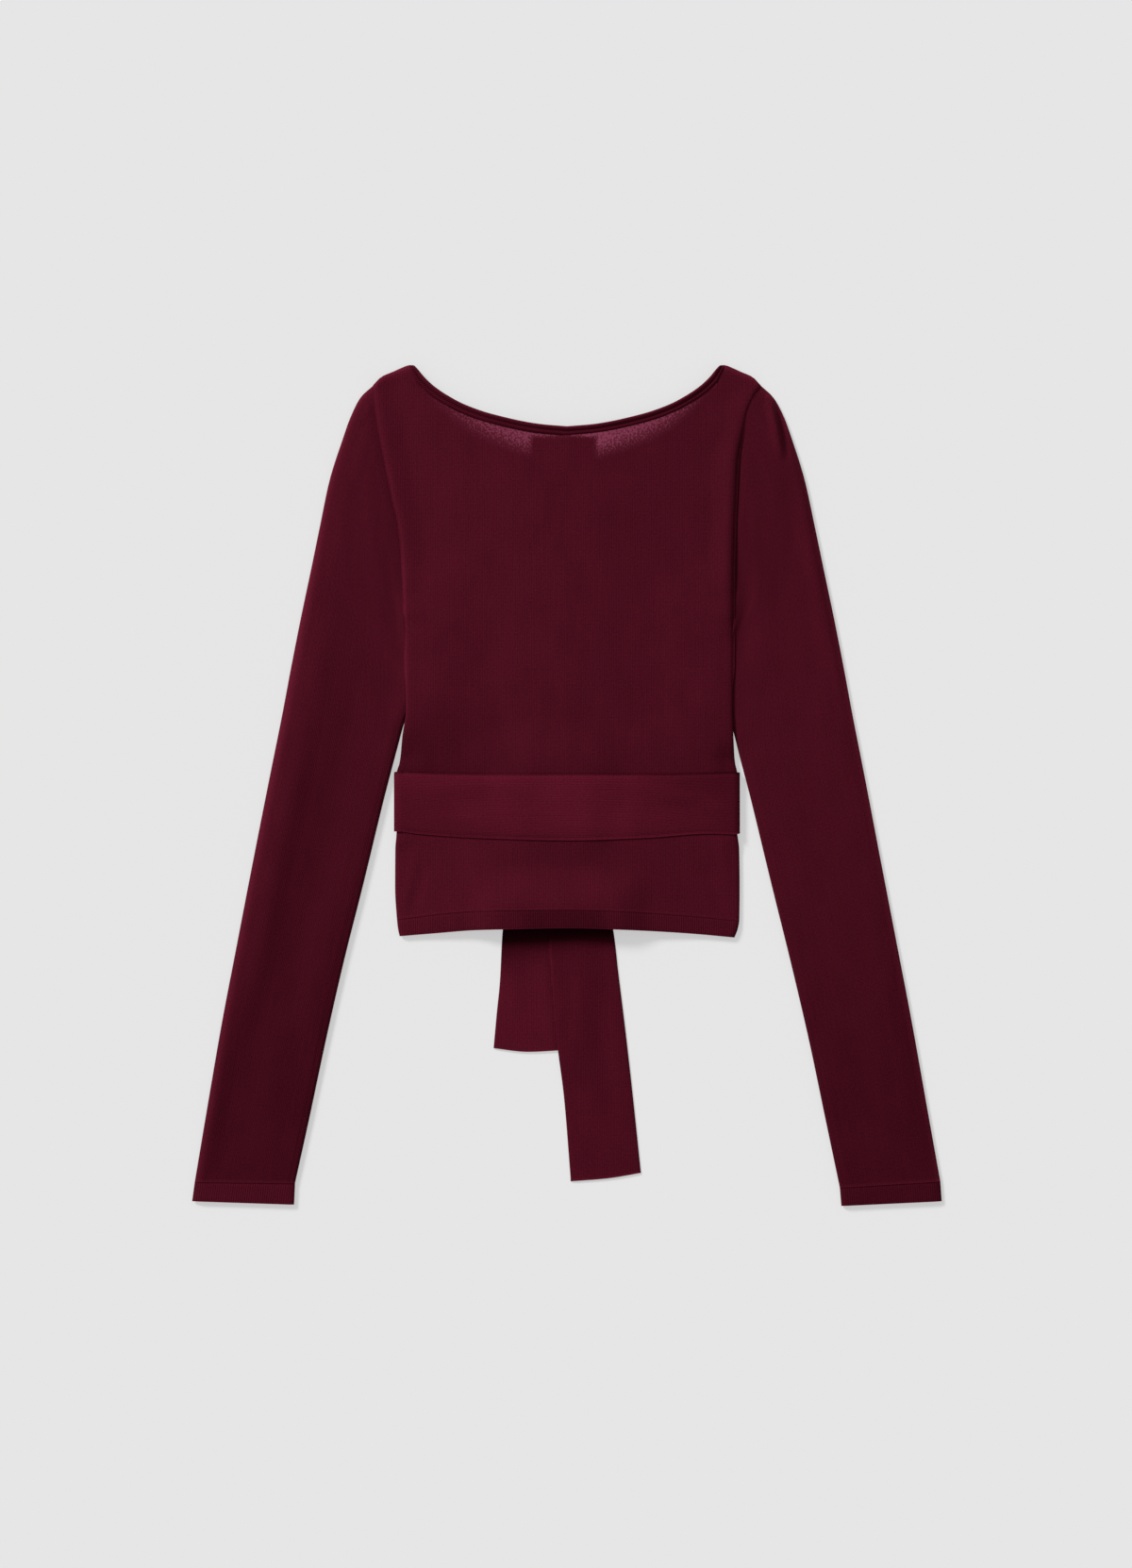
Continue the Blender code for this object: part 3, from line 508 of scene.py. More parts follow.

# Painted see-through light: where the pale surface shows through the single layer of knit, over the opening
# of the front's neck, and how much at each X
SEE_THROUGH_BELOW = 8.0  # how far below the front's neckline it starts
SEE_THROUGH_EDGE = 15.0  # how softly the front's neckline shows
LABEL_EDGE = 3.2  # and the label's outline
LABEL_INSET = 1.6  # the label's soft outline starts this far in from its edge
SEE_THROUGH = named_rows(
    "x share",
    (-118.0, 0.15),
    (-104.0, 0.45),
    (-70.0, 0.75),
    (-32.0, 0.95),
    (0.0, 0.45),
    (25.0, 1.20),
    (40.0, 1.05),
    (95.0, 0.85),
    (116.0, 0.35),
    (124.0, 0.1),
)

# Tone of the sash's ends below the hem's edge, and how far it reaches at each X
HEM_SHADE = named_rows(
    "below tone",
    (0.0, 0.11),
    (4.0, 0.18),
    (8.0, 0.25),
    (12.0, 0.42),
    (16.0, 0.56),
    (20.0, 0.70),
    (28.0, 0.90),
    (38.0, 1.00),
)
HEM_SHADE_REACH = named_rows(
    "x reach",
    (-50.0, 1.4),
    (-16.0, 1.0),
    (30.0, 0.6),
    (60.0, 0.5),
)
# Painted light and shade at each X: the hem darker in its middle, the sash's upper edge lit and lower
# shaded, the body lighter at the left
HEM_PAINTED_SHADE = named_rows(
    "x tone",
    (-140.0, 1.10),
    (-84.0, 1.00),
    (-50.0, 0.90),
    (-20.0, 0.68),
    (22.0, 0.66),
    (38.0, 0.88),
    (140.0, 0.96),
)
BELT_PAINTED_LIGHT = named_rows(
    "x upper lower",
    (-150.0, 1.08, 0.90),
    (-110.0, 1.24, 0.88),
    (-50.0, 1.30, 0.90),
    (27.0, 1.46, 1.12),
    (62.0, 1.14, 0.98),
    (86.0, 0.92, 0.96),
    (150.0, 0.74, 0.76),
)
BODY_PAINTED_LIGHT = named_rows(
    "x tone",
    (-140.0, 1.05),
    (-60.0, 1.03),
    (20.0, 0.97),
    (140.0, 0.95),
)
# Shade on the back: above the sash, deepest at the left side, and beside the right armhole
SHADE_OVER_BELT = named_rows(
    "x depth",
    (-140.0, 0.40),
    (-122.0, 0.32),
    (-80.0, 0.17),
    (0.0, 0.10),
    (70.0, 0.04),
    (112.0, 0.12),
    (140.0, 0.22),
)
SHADE_OVER_BELT_REACH = 90.0
ARMHOLE_SHADE = dict(depth=0.42, reach=8.0, from_y=140.0, to_y=280.0, fade=36.0)
PAINTED_RIM_HIGHLIGHT = 0.55  # painted highlight: how much lighter the colour is along a fold's outer edge
RIM_REACH = 6.5
HEM_SEAM_SHADE = dict(depth=0.24, reach=3.0)  # on the back, above the hem's seam
# Painted highlight along the back's left side
SIDE_PAINTED_HIGHLIGHT = dict(light=0.30, reach=1.8, from_y=46.0, start=1.0, to_y=150.0, fade=60.0)
SLEEVE_SHADE = dict(left=0.0, right=0.10)  # shade on a sleeve beside the body's edge
SLEEVE_SHADE_REACH = 20.0
# Painted highlight along the sash's long end, and the painted shade beside it on the short end
END_PAINTED_HIGHLIGHT = dict(light=0.32, reach=1.1, to_y=-125.0, fade=55.0)
END_SHADE = dict(depth=0.16, reach=7.0, from_y=-146.0, fade=30.0)
CUFF_TONE = dict(left=1.0, right=0.74)
END_TONE = dict(short=1.04, long=0.86)
SHORT_FOLDS = named_rows(
    "x0 y0 x1 y1 width height",
    (-40.0, -110.0, -44.0, -215.0, 7.0, 0.5),
)
LONG_FOLDS = named_rows(
    "x0 y0 x1 y1 width height",
    (8.0, -110.0, 24.0, -310.0, 9.0, 0.5),
    (24.0, -120.0, 40.0, -300.0, 8.0, -0.4),
)


def soft_folds(table, x, y):
    """Height of a table's soft folds at each point."""
    total = 0 * x
    for row in table:
        along = np.array([row["x1"] - row["x0"], row["y1"] - row["y0"]])
        length = np.linalg.norm(along)
        along = along / length
        gone_x, gone_y = x - row["x0"], y - row["y0"]
        share = (gone_x * along[0] + gone_y * along[1]) / length
        beside = gone_y * along[0] - gone_x * along[1]
        fade = np.sin(math.pi * np.clip(share, 0, 1)) ** FOLD_FADE
        total = total + row["height"] * fade * np.exp(-(beside / row["width"]) ** 2)
    return total


def rounded(distance, reach):
    """How far round a fold a point is: 1 at the edge, 0 from the reach inwards."""
    return np.clip(1 - distance / reach, 0, 1)


def fold_steps(reach, count=FOLD_COLUMNS):
    """Distances from an edge of the columns of its rounding."""
    angles = np.linspace(math.pi / 2, 0, count)
    return reach * (1 - np.sin(angles))


def spaced(start, end, cell):
    return np.linspace(start, end, max(2, int(round(abs(end - start) / cell)) + 1))


def grid_ids(rows, columns, ring):
    ids = np.arange(rows * columns).reshape(rows, columns)
    if ring:
        ids = np.concatenate([ids, ids[:, :1]], axis=1)
    return ids


def quads(ids):
    return np.stack([ids[:-1, :-1], ids[:-1, 1:], ids[1:, 1:], ids[1:, :-1]], axis=-1).reshape(-1, 4)


def edge_quads(outer_ids, inner_ids):
    """Faces that close a wall along one border."""
    return np.stack([outer_ids[1:], outer_ids[:-1], inner_ids[:-1], inner_ids[1:]], axis=-1)


def placed(name, data):
    """A new object in the scene."""
    made = bpy.data.objects.new(name, data)
    bpy.context.scene.collection.objects.link(made)
    return made


def shell(name, outer, inner, grain, material, ring=False, tone=1.0, thin=0.0):
    """A wall of cloth between two grids of points.

    A ring's last column joins its first, and its grain has one column more than its points.
    Grain is the place across and along the knit. Tone is how light the colour is at each point, with
    the painted light and shade of each piece in it, and thin is 1 where only the surface lies below.
    """
    rows, columns = outer.shape[:2]
    points = np.concatenate([outer.reshape(-1, 3), inner.reshape(-1, 3)])
    size = rows * columns
    ids = grid_ids(rows, columns, ring)
    grain_ids = grid_ids(*grain.shape[:2], False)
    faces = [quads(ids), quads(ids)[:, ::-1] + size]
    places = [quads(grain_ids), quads(grain_ids)[:, ::-1]]
    borders = [(ids[0, ::-1], grain_ids[0, ::-1]), (ids[-1], grain_ids[-1])]
    if not ring:
        borders += [(ids[:, 0], grain_ids[:, 0]), (ids[::-1, -1], grain_ids[::-1, -1])]
    for border, place in borders:
        faces.append(edge_quads(border, border + size))
        places.append(edge_quads(place, place))
    faces = np.concatenate(faces)
    places = np.concatenate(places)
    corners = points[faces[:, :3]]
    if np.einsum("ij,ij->i", corners[:, 0], np.cross(corners[:, 1], corners[:, 2])).sum() < 0:
        faces, places = faces[:, ::-1], places[:, ::-1]
    mesh = bpy.data.meshes.new(name)
    mesh.from_pydata(points * MM, [], faces.tolist())
    layer = mesh.uv_layers.new(name="grain")
    layer.data.foreach_set("uv", grain.reshape(-1, 2)[places.reshape(-1)].astype(np.float32).ravel())
    for label, values in (("tone", tone), ("thin", thin)):
        values = np.broadcast_to(values, (rows, columns)).reshape(-1)
        attribute = mesh.attributes.new(label, "FLOAT", "POINT")
        attribute.data.foreach_set("value", np.concatenate([values, values]).astype(np.float32))
    mesh.shade_smooth()
    mesh.materials.append(material)
    return placed(name, mesh)


def along_rows(x, y):
    """Distance along the columns of a grid, from its first row."""
    steps = np.hypot(np.diff(x, axis=0), np.diff(y, axis=0))
    return np.concatenate([np.zeros((1, x.shape[1])), np.cumsum(steps, axis=0)])


def across_columns(x, y):
    steps = np.hypot(np.diff(x, axis=1), np.diff(y, axis=1))
    return np.concatenate([np.zeros((x.shape[0], 1)), np.cumsum(steps, axis=1)], axis=1)


def neck_opening(x, drop):
    """Edge of the neck opening, at each X."""
    return NECK_POINT_Y - drop + across(NECK_RISE, abs(x)) * drop / BACK_NECK_DROP


def neck_line(drop, out, count=NECK_SAMPLES):
    """Points along the neck opening's edge, moved out from it."""
    along = np.linspace(-NECK_POINT_X, NECK_POINT_X, count)
    edge = np.stack([along, neck_opening(along, drop)], axis=1)
    ahead = np.gradient(edge, axis=0)
    ahead = ahead / np.linalg.norm(ahead, axis=1)[:, None]
    return edge + out * np.stack([ahead[:, 1], -ahead[:, 0]], axis=1)


def panel_columns(cell):
    """Place of each panel column between the left edge, 0, and the right edge, 1."""
    near = fold_steps(SIDE_REACH)
    neck = NECK_SEAM_FROM_EDGE * NOMINAL_WIDTH
    left = np.concatenate([near, spaced(near[-1], neck, cell)[1:]]) / NOMINAL_WIDTH
    middle = spaced(left[-1], 1 - left[-1], cell / NOMINAL_WIDTH)[1:-1]
    return np.concatenate([left, middle, 1 - left[::-1]])


def panel_plan(drop, cell, overhang=0.0):
    """Grid of a panel in plan: rows from the hem seam to the neck, columns from left to right."""
    shares = panel_columns(cell)
    nominal_x = (shares - 0.5) * NOMINAL_WIDTH
    top_x = (2 * shares - 1) * SHOULDER_X
    shoulder = across(SHOULDER, abs(top_x))
    seam = neck_line(drop, NECKBAND_WIDTH)
    neckline = np.interp(top_x, seam[:, 0], seam[:, 1])
    top = np.where(abs(top_x) < NECK_POINT_X, neckline, shoulder)
    guides = [
        across(HEM_SEAM, nominal_x),
        across(BELT_LOWER, nominal_x),
        across(BELT_UPPER, nominal_x),
        np.full(len(shares), UNDERARM_Y),
        top - SIDE_REACH,
    ]
    rows = []
    for lower, upper in zip(guides, guides[1:]):
        count = len(spaced(lower.mean(), upper.mean(), cell)) - 1
        rows += [lower + (upper - lower) * i / count for i in range(count)]
    rows += [top - distance for distance in fold_steps(SIDE_REACH)[::-1]]
    y = np.array(rows)
    left, right = body_edges(y)
    over = overhang * ramp(OVERHANG_FROM_Y - y, OVERHANG_RAMP)
    over = over * ramp(y - SHOULDER_Y + 2 * SIDE_REACH, SIDE_REACH)
    left, right = left - over, right + over
    return left + (right - left) * shares, y, top


def armhole_raise(x, y):
    """How high the body's edges stand over the sleeves' seams."""
    raised = np.where(x < 0, ARMHOLE_RAISE["left"], ARMHOLE_RAISE["right"])
    lower = np.where(x < 0, ARMHOLE_TOP["left"], ARMHOLE_TOP["right"])
    raised = raised * (1 - lower * ramp(SHOULDER_Y - y, ARMHOLE_TOP["ramp"]))
    raised = raised * ramp(from_sides(x, y), ARMHOLE_RAISE_RAMP)
    return raised * ramp(UNDERARM_Y - y, ARMHOLE_FADE)


def back_extra(x, y):
    """How much higher the back lies in the scene than in the frame."""
    from_edge = from_sides(x, y)
    over_tails = ramp(abs(x - TAIL_CENTRE_X) - TAIL_HALF, HEM_RAISE_RAMP)
    over_tails = over_tails * ramp(y - HEM_RAISE_TO_Y + HEM_RAISE_RAMP, HEM_RAISE_RAMP)
    crown = np.sin(math.pi * np.clip(from_edge / NOMINAL_WIDTH, 0, 1))
    crown = crown * ramp(BODY_CROWN["from_y"] - y, BODY_CROWN["ramp"])
    inside = 1 - ramp(from_edge, SOFT_FROM_EDGE)
    softer = (lift(x, y, BACK_SPREAD) - lift(x, y)) * inside
    raised = armhole_raise(x, y) + HEM_RAISE * over_tails + BODY_CROWN["height"] * crown + softer
    return raised + soft_folds(BODY_FOLDS, x, y) * inside


def panel_sine(x, y, top, whole_edge):
    """Height of a panel's rounding as a share of its full height, and its inward turn."""
    side = rounded(from_sides(x, y), SIDE_REACH)
    if not whole_edge:
        side = side * np.clip((UNDERARM_Y + SIDE_REACH - y) / (2 * SIDE_REACH), 0, 1)
    over = np.where(abs(x) > NECK_POINT_X, rounded(top - y, SIDE_REACH), 0)
    turn = np.minimum(np.hypot(side, over), 1)
    inward = stacked(np.where(x < 0, side, -side), -over)
    return np.sqrt(1 - turn ** 2), inward


def lay(x, y, sine, inward, facing, extra, proud=0.0, wall=WALL):
    """Outer and inner points of a layer of the body that faces up (1) or down (-1)."""
    middle = lift(x, y) + HALF + extra
    outer_rise = np.maximum((HALF + proud) * sine, SEAM_GAP)
    inner_rise = np.maximum((HALF - wall) * sine, SEAM_GAP / 2)
    outer = stacked(x, y, middle + facing * outer_rise)
    moved = wall * inward
    inner = stacked(x + moved[..., 0], y + moved[..., 1], middle + facing * inner_rise)
    return outer, inner


def see_through(x, y):
    """Share of painted see-through light, where the back lies over nothing but the surface: inside the
    front's neck opening.
    """
    seam = neck_line(FRONT_NECK_DROP, 0.0)
    edge = np.interp(x, seam[:, 0], seam[:, 1])
    clear = np.clip((y - edge + SEE_THROUGH_BELOW) / SEE_THROUGH_EDGE, 0, 1)
    strength = look_up(SEE_THROUGH, "share", x)
    half = NECK_LABEL["width"] / 2
    from_label = np.maximum(abs(x - NECK_LABEL["x"]) - half, y - NECK_LABEL["top"])
    return strength * clear * np.clip((from_label + LABEL_INSET) / LABEL_EDGE, 0, 1)


def back_painted_light_and_shade(x, y, top):
    """Painted light and shade on the back: lighter at the left, with the painted shade of its neighbours and
    painted highlights along its left edge and shoulders.
    """
    # Painted light: the body lighter at the left
    tone = look_up(BODY_PAINTED_LIGHT, "tone", x)
    depth = look_up(SHADE_OVER_BELT, "depth", x)
    above = y - across(BELT_UPPER, x)
    tone = tone * (1 - depth * ramp(above, SHADE_OVER_BELT_REACH) * (above > -BELT_WALL))
    shade = ARMHOLE_SHADE
    along = ramp(shade["from_y"] - y, shade["fade"]) * ramp(y - shade["to_y"], shade["fade"])
    tone = tone * (1 - shade["depth"] * along * ramp(body_edge("right", y) - x, shade["reach"]))
    # Painted highlight along the back's left edge
    painted_highlight = ramp(x - body_edge("left", y), SIDE_PAINTED_HIGHLIGHT["reach"]) * ramp(SIDE_PAINTED_HIGHLIGHT["from_y"] - y, SIDE_PAINTED_HIGHLIGHT["start"])
    tone = tone * (1 + SIDE_PAINTED_HIGHLIGHT["light"] * painted_highlight * ramp(y - SIDE_PAINTED_HIGHLIGHT["to_y"], SIDE_PAINTED_HIGHLIGHT["fade"]))
    over_hem = ramp(y - across(HEM_SEAM, x), HEM_SEAM_SHADE["reach"])
    tone = tone * (1 - HEM_SEAM_SHADE["depth"] * over_hem)
    # Painted highlight along the shoulders
    shoulder = ramp(top - y, RIM_REACH) * (abs(x) > NECK_POINT_X)
    return tone * (1 + PAINTED_RIM_HIGHLIGHT * shoulder)


def make_panel(name, facing, drop, cell, material):
    back = facing == UP
    x, y, top = panel_plan(drop, cell, BACK_OVERHANG if back else 0.0)
    sine, inward = panel_sine(x, y, top, back)
    extra = back_extra(x, y) if back else armhole_raise(x, y) * ramp(y - UNDERARM_Y, UNDERARM_JOIN)
    outer, inner = lay(x, y, sine, inward, facing, extra)
    thin = see_through(x, y) if back else 0 * x
    tone = back_painted_light_and_shade(x, y, top) if back else 1.0
    return shell(name, outer, inner, stacked(x, y), material, tone=tone, thin=thin)


def beaded(levels):
    """How far below its middle a band lies at each level between its edges."""
    profile = np.clip(1 - (2 * levels[:, None] - 1) ** BEAD["power"], BEAD["least"], 1)
    return BEAD["depth"] * (np.sqrt(profile) - 1)


def make_hem_band(name, facing, cell, proud, material):
    shares = panel_columns(cell)
    nominal_x = (shares - 0.5) * NOMINAL_WIDTH
    seam = across(HEM_SEAM, nominal_x)
    edge = across(HEM_EDGE, nominal_x)
    levels = np.linspace(0, 1, HEM_LEVELS[facing])
    y = edge + (seam - edge) * levels[:, None]
    left, right = body_edges(y)
    x = left + (right - left) * shares
    sine, inward = panel_sine(x, y, y + FAR_TOP, True)
    extra = back_extra(x, y) + beaded(levels) if facing == UP else 0 * x
    outer, inner = lay(x, y, sine, inward, facing, extra, proud)
    # Painted shade: the hem darker in its middle
    return shell(name, outer, inner, stacked(x, y), material, tone=look_up(HEM_PAINTED_SHADE, "tone", x))


def make_neckband(name, facing, drop, proud, material):
    """Rounded strip along the neckline that turns over at the shoulders."""
    levels = np.linspace(0, 1, NECKBAND_LEVELS[facing])
    width = NECKBAND_WIDTH + (BAND_OVERLAP if facing == UP else -SEAM_GAP)
    lines = [neck_line(drop, width * (1 - level), NECKBAND_POINTS[facing]) for level in levels]
    points = np.array(lines)
    x, y = points[..., 0], points[..., 1]
    gone = across_columns(x, y)
    for end, away in ((0, gone), (-1, gone[:, -1:] - gone)):
        short_by = NECK_POINT_Y - y[:, end]
        y = y + short_by[:, None] * ramp(away, BAND_END_RAMP)
    over = rounded(across(SHOULDER, abs(x)) - y, SIDE_REACH)
    over[:, [0, -1]] = 1
    sine = np.sqrt(1 - np.clip(over, 0, 1) ** 2)
    extra = 0 * x
    if facing == UP:
        extra = back_extra(x, y) + look_up(NECKBAND_PROFILE, "height", levels)[:, None]
    outer, inner = lay(x, y, sine, stacked(0 * x, -over), facing, extra, proud)
    # Painted shade in the grooves and a painted highlight towards the edge
    tone = look_up(NECKBAND_PROFILE, "tone", levels)[:, None]
    grain = stacked(across_columns(x, y), along_rows(x, y))
    return shell(name, outer, inner, grain, material, tone=tone)


def sleeve_ends(table, count):
    """Outer and inner ends of a sleeve's sections, and the row of the table at each."""
    at = np.linspace(0, len(table) - 1, count)
    knots = np.arange(len(table))
    names = ("outer_x", "outer_y", "inner_x", "inner_y")
    ends = np.stack([smooth(knots, column(table, name), at) for name in names], axis=1)
    return ends[:, :2], ends[:, 2:], at


def section_shares(count_flat, length):
    """Place of each column between a section's outer end, 0, and its inner end, 1."""
    outer = fold_steps(SLEEVE_REACH, SLEEVE_FOLD_COLUMNS) / length
    inner = fold_steps(INNER_REACH, SLEEVE_FOLD_COLUMNS)[::-1] / length
    middle = np.linspace(outer[-1], 1 - inner[0], count_flat + 1)[1:-1]
    return np.concatenate([outer, middle, 1 - inner])


def edge_inward(edge, sign):
    """Direction from a sleeve's inner edge into the sleeve."""
    ahead = np.gradient(edge, axis=0)
    ahead = ahead / np.linalg.norm(ahead, axis=1)[:, None]
    normal = np.stack([-ahead[:, 1], ahead[:, 0]], axis=1)
    return normal * np.where(normal[:, :1] * sign < 0, -1, 1)


def tube(plan, inner_edge_in, rise):
    """Outer and inner rings of a flat tube from its sections' plan and its upper layer's rise."""
    count = plan.shape[1]
    length = np.linalg.norm(plan[:, -1] - plan[:, 0], axis=1)[:, None]
    along = across_columns(plan[..., 0], plan[..., 1])
    total = along[:, -1:]
    outer_turn = rounded(along, SLEEVE_REACH)
    inner_turn = rounded(total - along, INNER_REACH)
    turn = np.maximum(outer_turn, inner_turn)
    chord = (plan[:, -1] - plan[:, 0]) / length
    inward = outer_turn[..., None] * chord[:, None] + inner_turn[..., None] * inner_edge_in[:, None]
    sine = np.sqrt(1 - turn ** 2)
    moved = plan + WALL * inward
    back = slice(count - 2, 0, -1)
    layers = []
    for xy, half in ((plan, HALF), (moved, HALF - WALL)):
        above = HALF + half * sine + rise
        below = HALF - half * sine
        ring = [np.dstack([xy, above]), np.dstack([xy[:, back], below[:, back]])]
        layers.append(np.concatenate(ring, axis=1))
    around = np.concatenate([along, total + (total - along)[:, ::-1][:, 1:]], axis=1)
    return layers[0], layers[1], around


def sleeve_relief(table, along, shares):
    """Relief of a sleeve's top and its tone, from its armhole to its cuff."""
    heights = stacked(*[look_up(table, station, along) for station in RELIEF_STATIONS])
    places = list(RELIEF_STATIONS.values())
    relief = np.array([smooth(places, row, share) for row, share in zip(heights, shares)])
    return relief, look_up(table, "tone", along)[:, None]


def make_sleeve(name, side, sign, table, relief_table, folds, material):
    tuck = UNDERARM_TUCK
    outer_ends, inner_ends, at = sleeve_ends(table, SLEEVE_SECTIONS)
    shares = section_shares(SLEEVE_COLUMNS, SLEEVE_WIDTH)
    inner_ends[:, 0] -= sign * tuck["reach"] * ramp(at - tuck["rows"], tuck["fade_rows"])
    straight = outer_ends[:, None] + (inner_ends - outer_ends)[:, None] * shares[None, :, None]
    armhole_y = SHOULDER_Y + (UNDERARM_Y - SHOULDER_Y) * shares
    under_body = tuck["reach"] * ramp(armhole_y - UNDERARM_Y, tuck["ramp"])
    armhole_x = body_edge(side, armhole_y) + sign * (SEAM_GAP - under_body)
    armhole = stacked(armhole_x, armhole_y)
    fade = np.clip(1 - at / ARMHOLE_ROWS, 0, 1)[:, None, None] ** 2
    plan = straight + fade * (armhole - straight[0])
    x, y = plan[..., 0], plan[..., 1]
    from_body = sign * (x - body_edge(side, np.clip(y, UNDERARM_Y, SHOULDER_Y)))
    along = across_columns(x, y)
    share = along / along[:, -1:]
    relief, tone = sleeve_relief(relief_table, at / (len(table) - 1), share)
    seam = -UNDERARM_SEAM["depth"] * np.exp(
        -((along[:, -1:] - along - UNDERARM_SEAM["inboard"]) / UNDERARM_SEAM["width"]) ** 2
    )
    seam = seam * ramp(UNDERARM_SEAM["rows"] - at, UNDERARM_SEAM["rows"])[:, None]
    dip = -SLEEVE_DIP[side] * ramp(from_body, SLEEVE_DIP["reach"])
    dip = dip * ramp(UNDERARM_Y - y, SLEEVE_DIP["fade"])
    from_edge = np.minimum(along, along[:, -1:] - along)
    rise = (relief + seam + dip) * np.sqrt(1 - rounded(from_edge, RELIEF_REACH) ** 2)
    rise = rise + soft_folds(folds, x, y) * np.sqrt(1 - rounded(from_edge, FOLD_REACH) ** 2)
    # Painted highlight along the sleeve's outer edge
    tone = tone * (1 + PAINTED_RIM_HIGHLIGHT * ramp(along, RIM_REACH))
    tone = tone * (1 - SLEEVE_SHADE[side] * ramp(from_body, SLEEVE_SHADE_REACH))
    tone = np.concatenate([tone, tone[:, -2:0:-1]], axis=1)
    tucked = np.sin(math.pi * np.minimum(share[0], 0.5)) ** FULLNESS
    plan[0, :, 0] -= sign * SLEEVE_TUCKED * tucked
    outer, inner, around = tube(plan, edge_inward(inner_ends, sign), rise)
    middle = straight.mean(axis=1)
    down = along_rows(middle[:, :1], middle[:, 1:])
    grain = stacked(around, -down + 0 * around)
    return shell(name, outer, inner, grain, material, ring=True, tone=tone)


def make_cuff(name, sign, seam, edge, tone, material):
    levels = np.linspace(0, 1, CUFF_LEVELS)

    def line(end):
        start = np.array([seam[end + "_x"], seam[end + "_y"]])
        stop = np.array([edge[end + "_x"], edge[end + "_y"]])
        return start + (stop - start) * levels[:, None]

    outer_line, inner_line = line("outer"), line("inner")
    shares = section_shares(CUFF_COLUMNS, CUFF_WIDTH)
    plan = outer_line[:, None] + (inner_line - outer_line)[:, None] * shares[None, :, None]
    rise = (beaded(levels) + BAND_PROUD) * np.sin(math.pi * shares)[None, :] ** FULLNESS
    outer, inner, around = tube(plan, edge_inward(inner_line, sign), rise)
    grain = stacked(around, 0 * around - CUFF_LENGTH * levels[:, None])
    return shell(name, outer, inner, grain, material, ring=True, tone=tone)


def rounded_off(share, edge):
    """Fullness of a strip at each share of its width: 1 nearly all over, 0 at its edges."""
    return np.sqrt(np.clip(1 - abs(2 * share - 1) ** edge["power"], 0, 1))


def make_belt(material):
    """The sash: from the knot under the front, round one side, across the back and round the other."""
    share = np.linspace(0, 1, BELT_LEVELS)
    shares = panel_columns(CELL)
    nominal_x = (shares - 0.5) * NOMINAL_WIDTH
    low_line, high_line = across(BELT_LOWER, nominal_x), across(BELT_UPPER, nominal_x)
    y = low_line + (high_line - low_line) * share[:, None]
    left, right = body_edges(y)
    x = left + (right - left) * shares
    flat = FOLD_COLUMNS - 1
    back_x, back_y = x[:, flat:-flat], y[:, flat:-flat]
    level = lift(back_x, back_y) + 2 * HALF + REST_GAP + back_extra(back_x, back_y)
    level = level + soft_folds(BELT_FOLDS, back_x, back_y)
    round_off = rounded_off(share[:, None], BELT_EDGE)
    low, high = BELT_REST_Y
    rest_y = low + (high - low) * share
    knot_y = KNOT["y"] + (share - 0.5) * BELT_INLET * KNOT["half_y"]
    middle = BELT_WALL + REST_GAP + HALF
    reach = SIDE_REACH + BELT_REACH

    def side_parts(sign):
        edge = 0 if sign < 0 else -1
        start_x = back_x[:, edge]
        top = level[:, edge] + BELT_WALL
        outer, inner = [], []
        for angle in np.radians(BELT_TURN):
            cosine, sine = math.cos(angle), math.sin(angle)
            drift = (1 - sine) / 2
            fold_y = back_y[:, edge] * (1 - drift) + rest_y * drift
            if sine > 0:
                outer_z = middle + (top - middle) * sine
                inner_z = middle + (top - BELT_WALL - middle) * sine
            else:
                outer_z = middle * (1 + sine) + 0 * top
                inner_z = middle + (middle - BELT_WALL) * sine + 0 * top
            outer.append(stacked(start_x + sign * reach * cosine, fold_y, outer_z))
            inner.append(stacked(start_x + sign * (reach - BELT_WALL) * cosine, fold_y, inner_z))
        end_x = KNOT["x"] + sign * (KNOT["half_x"] + REST_GAP)
        for gone in np.linspace(0, 1, BELT_REST_COLUMNS)[1:]:
            step_x = start_x + (end_x - start_x) * gone
            narrowed = ramp(1 - gone, BELT_NARROWING)
            step_y = rest_y * (1 - narrowed) + knot_y * narrowed
            outer.append(stacked(step_x, step_y, 0 * step_y))
            inner.append(stacked(step_x, step_y, 0 * step_y + BELT_WALL))
        return outer, inner

    left_outer, left_inner = side_parts(LEFT)
    right_outer, right_inner = side_parts(RIGHT)
    top = level + BELT_EDGE["thin"] + (BELT_WALL - BELT_EDGE["thin"]) * round_off
    back_inner = list(stacked(back_x, back_y, level).transpose(1, 0, 2))
    back_outer = list(stacked(back_x, back_y, top).transpose(1, 0, 2))
    outer = np.array(left_outer[::-1] + back_outer + right_outer)
    inner = np.array(left_inner[::-1] + back_inner + right_inner)
    around = along_rows(outer[..., 0], outer[..., 2]).mean(axis=1)[:, None]
    grain = stacked(share[None, :] * BELT_WIDTH + 0 * around, around + 0 * share[None, :])
    # Painted highlight along the sash's upper edge and painted shade along its lower edge
    tone = look_up(BELT_PAINTED_LIGHT, "upper", outer[..., 0]) * share
    tone = tone + look_up(BELT_PAINTED_LIGHT, "lower", outer[..., 0]) * (1 - share)
    return shell("sash", outer, inner, grain, material, tone=tone)


